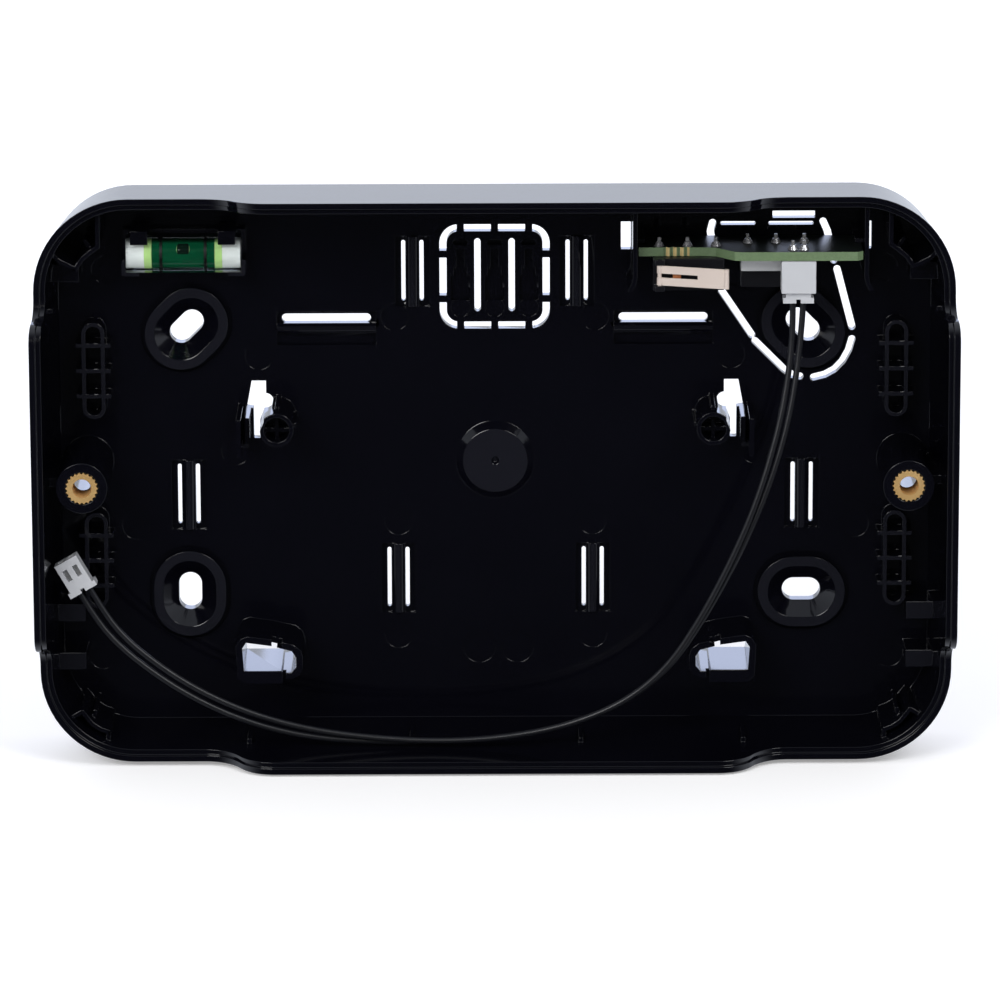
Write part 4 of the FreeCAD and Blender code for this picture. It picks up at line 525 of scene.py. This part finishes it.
@dataclass
class Studio:
    """The camera, lamps, world and floor.

    Lengths in metres, angles in degrees, and the lens and its sensor in millimetres.
    """

    aim: Point = (0.00084, -0.0292, -0.00154)
    distance: float = 1.1968
    elevation: float = 13.5
    roll: float = -0.2
    lens: float = 240.84
    sensor: float = 36.0
    clip: tuple[float, float] = (0.01, 50.0)
    floor_drop: float = 0.0004
    floor_colour: Colour = (0.93, 0.93, 0.94)
    floor_reach: float = 4.0
    floor_glow: float = 0.28
    floor_fade: tuple[float, float] = (0.35, 1.3)
    ambient: float = 0.62
    ambient_colour: Colour = (0.95, 0.96, 1.0)
    mirrored_colour: Colour = (0.84, 0.89, 1.0)
    front_glow: float = 0.03
    front_fade: tuple[float, float] = (-0.85, 0.05)
    # A soft key and a soft fill, both above and in front, and a broad cool lamp behind.
    lamps: tuple[Lamp, ...] = (
        Lamp("key", (-0.65, -1.25, 0.75), 0.8, 0.5, 10.5),
        Lamp("fill", (0.75, -1.0, 0.95), 0.6, 0.6, 6.5),
        Lamp("behind", (0.0, 1.5, 0.66), 2.4, 0.85, 11.0, (0.56, 0.66, 1.0)),
    )

    def camera(self) -> bpy.types.Object:
        """Sets a long-lens camera in front of the panel and a little above it.

        Returns:
            The camera.
        """
        data = bpy.data.cameras.new("camera")
        data.lens = self.lens
        data.sensor_width = self.sensor
        data.clip_start, data.clip_end = self.clip
        made = bpy.data.objects.new("camera", data)
        bpy.context.collection.objects.link(made)
        rise = math.radians(self.elevation)
        made.location = (self.aim[0], self.aim[1] - self.distance * math.cos(rise),
                         self.aim[2] + self.distance * math.sin(rise))
        turn = Matrix.Rotation(math.radians(90.0 - self.elevation), 4, "X")
        made.rotation_euler = (turn @ Matrix.Rotation(math.radians(self.roll), 4, "Z")).to_euler()
        bpy.context.scene.camera = made
        return made

    def world(self) -> None:
        """White to the camera and through glass; to mirrors white all round but dark in front."""
        world = bpy.data.worlds.new("studio")
        bpy.context.scene.world = world
        world.use_nodes = True
        nodes = Nodes(world.node_tree)
        out = nodes.add("OutputWorld")
        light = nodes.add("Background", Strength=self.ambient)
        light.inputs["Color"].default_value = (*self.ambient_colour, 1.0)
        mirrored, white = nodes.add("Background"), nodes.add("Background", Strength=1.0)
        mirrored.inputs["Color"].default_value = (*self.mirrored_colour, 1.0)
        white.inputs["Color"].default_value = (*WHITE, 1.0)
        front = nodes.add("MapRange", interpolation_type="SMOOTHSTEP")
        front.inputs["From Min"].default_value = self.front_fade[0]
        front.inputs["From Max"].default_value = self.front_fade[1]
        front.inputs["To Min"].default_value = self.front_glow
        front.inputs["To Max"].default_value = 1.0
        nodes.join(nodes.place("Generated").outputs["Y"], front.inputs["Value"])
        nodes.join(front.outputs[0], mirrored.inputs["Strength"])
        path = nodes.add("LightPath")
        glossy, direct = nodes.add("MixShader"), nodes.add("MixShader")
        nodes.join(path.outputs["Is Glossy Ray"], glossy.inputs[0])
        nodes.join(light.outputs[0], glossy.inputs[1])
        nodes.join(mirrored.outputs[0], glossy.inputs[2])
        seen = nodes.add("Math", operation="MAXIMUM")
        nodes.join(path.outputs["Is Camera Ray"], seen.inputs[0])
        nodes.join(path.outputs["Is Transmission Ray"], seen.inputs[1])
        nodes.join(seen.outputs[0], direct.inputs[0])
        nodes.join(glossy.outputs[0], direct.inputs[1])
        nodes.join(white.outputs[0], direct.inputs[2])
        nodes.join(direct.outputs[0], out.inputs[0])

    def floor(self) -> None:
        """A pale floor just under the panel's lower edge, which mirrors don't see."""
        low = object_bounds()[0][2] - self.floor_drop
        mesh = bpy.data.meshes.new("floor")
        far = self.floor_reach
        mesh.from_pydata([(-far, -far, low), (far, -far, low), (far, far, low), (-far, far, low)],
                         [], [(0, 1, 2, 3)])
        pale = bpy.data.materials.new("floor_pale")
        pale.use_nodes = True
        nodes = Nodes(pale.node_tree)
        matt, none = nodes.add("BsdfDiffuse"), nodes.add("BsdfTransparent")
        mix = nodes.add("MixShader")
        matt.inputs["Color"].default_value = (*self.floor_colour, 1.0)
        path = nodes.add("LightPath")
        glow, lit = nodes.add("Emission"), nodes.add("AddShader")
        glow.inputs["Color"].default_value = (1.0, 0.99, 0.97, 1.0)
        place, away = nodes.add("TexCoord"), nodes.add("VectorMath", operation="LENGTH")
        nodes.join(place.outputs["Object"], away.inputs[0])
        bright = nodes.span(away.outputs["Value"], *self.floor_fade)
        bright.node.inputs["To Min"].default_value = self.floor_glow
        nodes.join(nodes.product(path.outputs["Is Camera Ray"], bright), glow.inputs["Strength"])
        nodes.join(matt.outputs[0], lit.inputs[0])
        nodes.join(glow.outputs[0], lit.inputs[1])
        nodes.join(path.outputs["Is Glossy Ray"], mix.inputs[0])
        nodes.join(lit.outputs[0], mix.inputs[1])
        nodes.join(none.outputs[0], mix.inputs[2])
        nodes.join(mix.outputs[0], nodes.add("OutputMaterial").inputs[0])
        mesh.materials.append(pale)
        made = bpy.data.objects.new("floor", mesh)
        bpy.context.collection.objects.link(made)
        made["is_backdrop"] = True

    def build(self) -> None:
        """Builds all of it."""
        bpy.context.scene.view_settings.view_transform = "Standard"
        self.camera()
        for lamp in self.lamps:
            lamp.build()
        self.world()
        self.floor()


# ---------------------------------------------------------------- the lead
@dataclass
class Lead:
    """The two-wire lead between the board's plug and the free plug. Lengths in millimetres."""

    thick: float = 1.1
    lengths: tuple[float, float] = (192.5, 195.2)
    left_route: tuple[Point, ...] = (
        (53.5, -16.85, 33.5), (53.6, -17.1, 28.0), (53.0, -18.3, 20.5), (51.6, -20.0, 12.1),
        (49.3, -21.5, 3.4), (46.4, -22.6, -5.4), (42.3, -23.1, -14.8), (37.3, -23.2, -24.6),
        (31.2, -23.0, -34.2), (23.5, -22.4, -40.9), (13.4, -21.7, -45.4), (2.0, -21.3, -47.8),
        (-10.0, -21.0, -48.6), (-22.5, -20.6, -48.0), (-34.3, -20.3, -46.4), (-45.2, -20.1, -43.3),
        (-55.1, -19.9, -38.6), (-63.1, -19.5, -33.1), (-68.2, -19.0, -28.5), (-71.6, -18.5, -23.7),
        (-74.43, -18.5, -18.71))
    right_route: tuple[Point, ...] = (
        (55.5, -16.85, 33.5), (55.2, -17.1, 28.0), (54.4, -18.3, 20.4), (53.0, -20.0, 11.8),
        (50.6, -21.3, 3.0), (47.4, -21.9, -5.8), (43.1, -22.2, -15.2), (37.9, -22.1, -25.0),
        (31.6, -21.8, -34.6), (23.7, -21.2, -41.2), (13.4, -20.5, -45.8), (2.0, -20.0, -48.1),
        (-10.0, -19.8, -48.9), (-22.5, -19.8, -48.9), (-34.7, -20.0, -47.9), (-45.8, -20.1, -44.9),
        (-55.9, -19.9, -40.1), (-64.2, -19.5, -34.4), (-69.6, -19.0, -29.6), (-73.2, -18.5, -24.85),
        (-76.17, -18.5, -19.71))

    def wire(self, name: str, node: str, route: Sequence[Point]) -> bpy.types.Object:
        """One wire: a quadratic NURBS spline with the route's points as its control points.

        Args:
            name: the piece's name.
            node: the CAD node that it stands for.
            route: the route's points.

        Returns:
            The wire's curve.
        """
        data = bpy.data.curves.new(name, "CURVE")
        data.dimensions = "3D"
        data.bevel_depth = self.thick / 2 * MILLI
        data.bevel_resolution = 6
        data.resolution_u = 12
        data.use_fill_caps = True
        spline = data.splines.new("NURBS")
        spline.points.add(len(route) - 1)
        for knot, place in zip(spline.points, metres(route)):
            knot.co = (*place, 1.0)
        spline.order_u = 3
        spline.use_endpoint_u = True
        data.materials.append(INSULATION.material())
        made = bpy.data.objects.new(name, data)
        bpy.context.collection.objects.link(made)
        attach(made, "housing")
        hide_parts(node)
        return made

    def build(self, nodes: dict[str, bpy.types.Object]) -> None:
        """Makes both wires and logs their lengths."""
        left = self.wire("lead_wire_left", "wire_left", self.left_route)
        right = self.wire("lead_wire_right", "wire_right", self.right_route)
        LOG.info("lead: two wires of %.1f and %.1f mm", *self.lengths)


# ---------------------------------------------------------------- brass inserts
@dataclass
class Insert:
    """A knurled brass insert with a threaded bore and a plain waist. Lengths in millimetres.

    rim_share is how much of the knurl the chamfered rims take, and in_waist marks the waist's
    points: any share over 1 takes the waist's depth and no knurl.
    """

    outside: float = 2.95
    bore: float = 1.65
    chamfer: float = 0.12
    waist_deep: float = 0.35
    waist_share: float = 0.1
    rim_share: float = 0.8
    in_waist: float = 1.6
    teeth: int = 22
    tooth_deep: float = 0.32
    pitch: float = 0.7
    thread_deep: float = 0.16
    around: int = 264
    along_outside: int = 24
    along_bore: int = 72

    def profile(self, length: float) -> tuple[np.ndarray, np.ndarray, np.ndarray]:
        """The closed line that is carried round the axis.

        Args:
            length: the insert's length.

        Returns:
            For each of its points: the depth below the front, the radius, and how much of the
            knurl (positive) or of the thread (negative) it takes.
        """
        outer = np.linspace(0.0, length, self.along_outside)
        inner = np.linspace(length, 0.0, self.along_bore)
        depth = np.concatenate([[0.0], outer, [length], inner])
        radius = np.concatenate([[self.outside - self.chamfer], np.full(outer.size, self.outside),
                                 [self.outside - self.chamfer], np.full(inner.size, self.bore)])
        knurled = np.ones(outer.size)
        middle = np.abs(outer - length / 2) < length * self.waist_share
        knurled[middle] = self.in_waist
        share = np.concatenate([[self.rim_share], knurled, [self.rim_share],
                                -np.ones(inner.size)])
        return depth, radius, share

    def mesh_arrays(self, centre: Point, length: float) -> tuple[np.ndarray, np.ndarray]:
        """The insert as a closed grid.

        With angle a and depth d, the outer radius is R - t |sin(n a / 2)| and the bore's is
        r + h |2 frac(d / p + a / 2 pi) - 1|, a helix of pitch p.

        Args:
            centre: the middle of the front face, in millimetres.
            length: the insert's length in millimetres.

        Returns:
            Vertices in metres and quads.
        """
        depth, radius, share = self.profile(length)
        turn = np.linspace(0.0, 2.0 * math.pi, self.around, endpoint=False)
        a, d = np.meshgrid(turn, depth)
        r0, k = np.broadcast_to(radius[:, None], a.shape), np.broadcast_to(share[:, None], a.shape)
        knurl = self.tooth_deep * np.abs(np.sin(self.teeth * a / 2.0)) * np.clip(k, 0.0, None)
        groove = np.where(k > 1.0, self.waist_deep, 0.0)
        along = np.mod(d / self.pitch + a / (2 * math.pi), 1.0)
        thread = self.thread_deep * np.abs(2.0 * along - 1.0)
        r = np.where(k > 0, r0 - knurl * np.where(k > 1.0, 0.0, 1.0) - groove, r0 + thread)
        x = centre[0] + r * np.cos(a)
        z = centre[2] + r * np.sin(a)
        y = centre[1] + d
        points = np.stack([x, y, z], axis=-1).reshape(-1, 3) * MILLI
        rows, columns = a.shape
        grid = np.arange(rows * columns).reshape(rows, columns)
        ahead, beside = np.roll(grid, -1, axis=0), np.roll(grid, -1, axis=1)
        both = np.roll(ahead, -1, axis=1)
        quads = np.stack([grid, ahead, both, beside], axis=-1).reshape(-1, 4)
        return points, quads

    def build(self, side: str, node: str) -> None:
        """Makes the insert that stands for one CAD node."""
        low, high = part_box(node)
        centre = ((low[0] + high[0]) / 2 / MILLI, low[1] / MILLI, (low[2] + high[2]) / 2 / MILLI)
        points, quads = self.mesh_arrays(centre, (high[1] - low[1]) / MILLI)
        made = piece(f"knurled_insert_{side}", points, quads, BRASS, "housing",
                     smooth=False)
        turn_outwards(made)
        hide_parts(node)
        LOG.info("insert %s: %d teeth", side, self.teeth)


# ---------------------------------------------------------------- the level
@dataclass
class Vial:
    """The level's contents, drawn larger across the vial's axis than their CAD solids.

    The tube stays as it is. The liquid, the rings and the plugs reach into its wall, and the
    rings stand 0.03 mm out of its flats. The bubble is drawn deepest, so that it shows in front
    of the opaque liquid, and at its limits it clips a ring. Every point moves away from the
    axis, along Y and along Z, by the piece's two shares.
    """

    shares: tuple[tuple[str, str, str, float, float], ...] = (
        ("vial_liquid", "housing", "level_green", 1.34, 1.34),
        ("vial_ring_left", "housing", "ring_black", 1.33, 1.33),
        ("vial_ring_right", "housing", "ring_black", 1.33, 1.33),
        ("vial_plug_left", "housing", "clear_acrylic", 1.22, 1.22),
        ("vial_plug_right", "housing", "clear_acrylic", 1.22, 1.22),
        ("vial_bubble", "bubble", "bubble_air", 2.47, 1.36),
    )

    def build(self, nodes: dict[str, bpy.types.Object]) -> None:
        """Makes the enlarged contents."""
        low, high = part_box("vial_tube")
        middle, height = (low[1] + high[1]) / 2, (low[2] + high[2]) / 2
        for name, body, slot, deeper, taller in self.shares:
            mesh = nodes[name].data
            count = len(mesh.vertices)
            points = np.empty(count * 3)
            mesh.vertices.foreach_get("co", points)
            points = points.reshape(count, 3)
            points[:, 1] = middle + (points[:, 1] - middle) * deeper
            points[:, 2] = height + (points[:, 2] - height) * taller
            faces = [tuple(face.vertices) for face in mesh.polygons]
            made = piece(f"{name}_enlarged", points, faces, CAD_FINISHES[name], body)
            turn_outwards(made)
            made.data.set_sharp_from_angle(angle=math.radians(SMOOTH_BELOW))
            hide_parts(name)
            LOG.info("enlarged %s", name)


def turn_outwards(made: bpy.types.Object) -> None:
    """Merges a mesh's doubles and turns its faces outwards."""
    work = bmesh.new()
    work.from_mesh(made.data)
    bmesh.ops.remove_doubles(work, verts=work.verts, dist=MERGE_DOUBLES)
    bmesh.ops.recalc_face_normals(work, faces=work.faces)
    work.to_mesh(made.data)
    work.free()


def dress(nodes: dict[str, bpy.types.Object]) -> None:
    """Gives every CAD node its finish."""
    for name, finish in CAD_FINISHES.items():
        made = nodes[name]
        for spot in made.material_slots:
            spot.material = finish.material()
        LOG.info("dressed %s", name)


# Each rounded node: its body, its slot, and in metres how wide its rounded edges are and the Y
# past which its edges stay sharp.
ROUNDED_NODES: tuple[tuple[str, str, str, float, float], ...] = (
    ("rear_housing", "housing", "housing_black", 0.00008, -0.0034),
    ("cover_switch_case", "housing", "switch_black", 0.00014, 0.0),
    ("wall_switch_case", "housing", "switch_grey", 0.00014, 0.0),
    ("wall_switch_base", "housing", "switch_black", 0.00014, 0.0),
    ("board_header", "housing", "nylon_white", 0.00015, 0.0),
    ("cover_switch_lever", "cover_lever", "lever_nickel", 0.00008, 0.0),
)


def round_edges(nodes: dict[str, bpy.types.Object]) -> None:
    """Replaces hard-edged moulded nodes by copies with rounded edges."""
    for name, body, slot, edge, sharp_behind in ROUNDED_NODES:
        rounded_copy(nodes[name], f"{name}_rounded", body, CAD_FINISHES[name], edge,
                     sharp_behind)
        LOG.info("rounded %s", name)


def main() -> None:
    """Builds the studio, the lead and every piece, in order."""
    logging.basicConfig(level=logging.INFO, format="%(name)s: %(message)s")
    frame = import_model()
    Studio().build()
    Lead().build(frame["nodes"])
    dress(frame["nodes"])
    for side in ("left", "right"):
        Insert().build(side, f"brass_insert_{side}")
    Vial().build(frame["nodes"])
    round_edges(frame["nodes"])


if __name__ == "__main__":
    main()
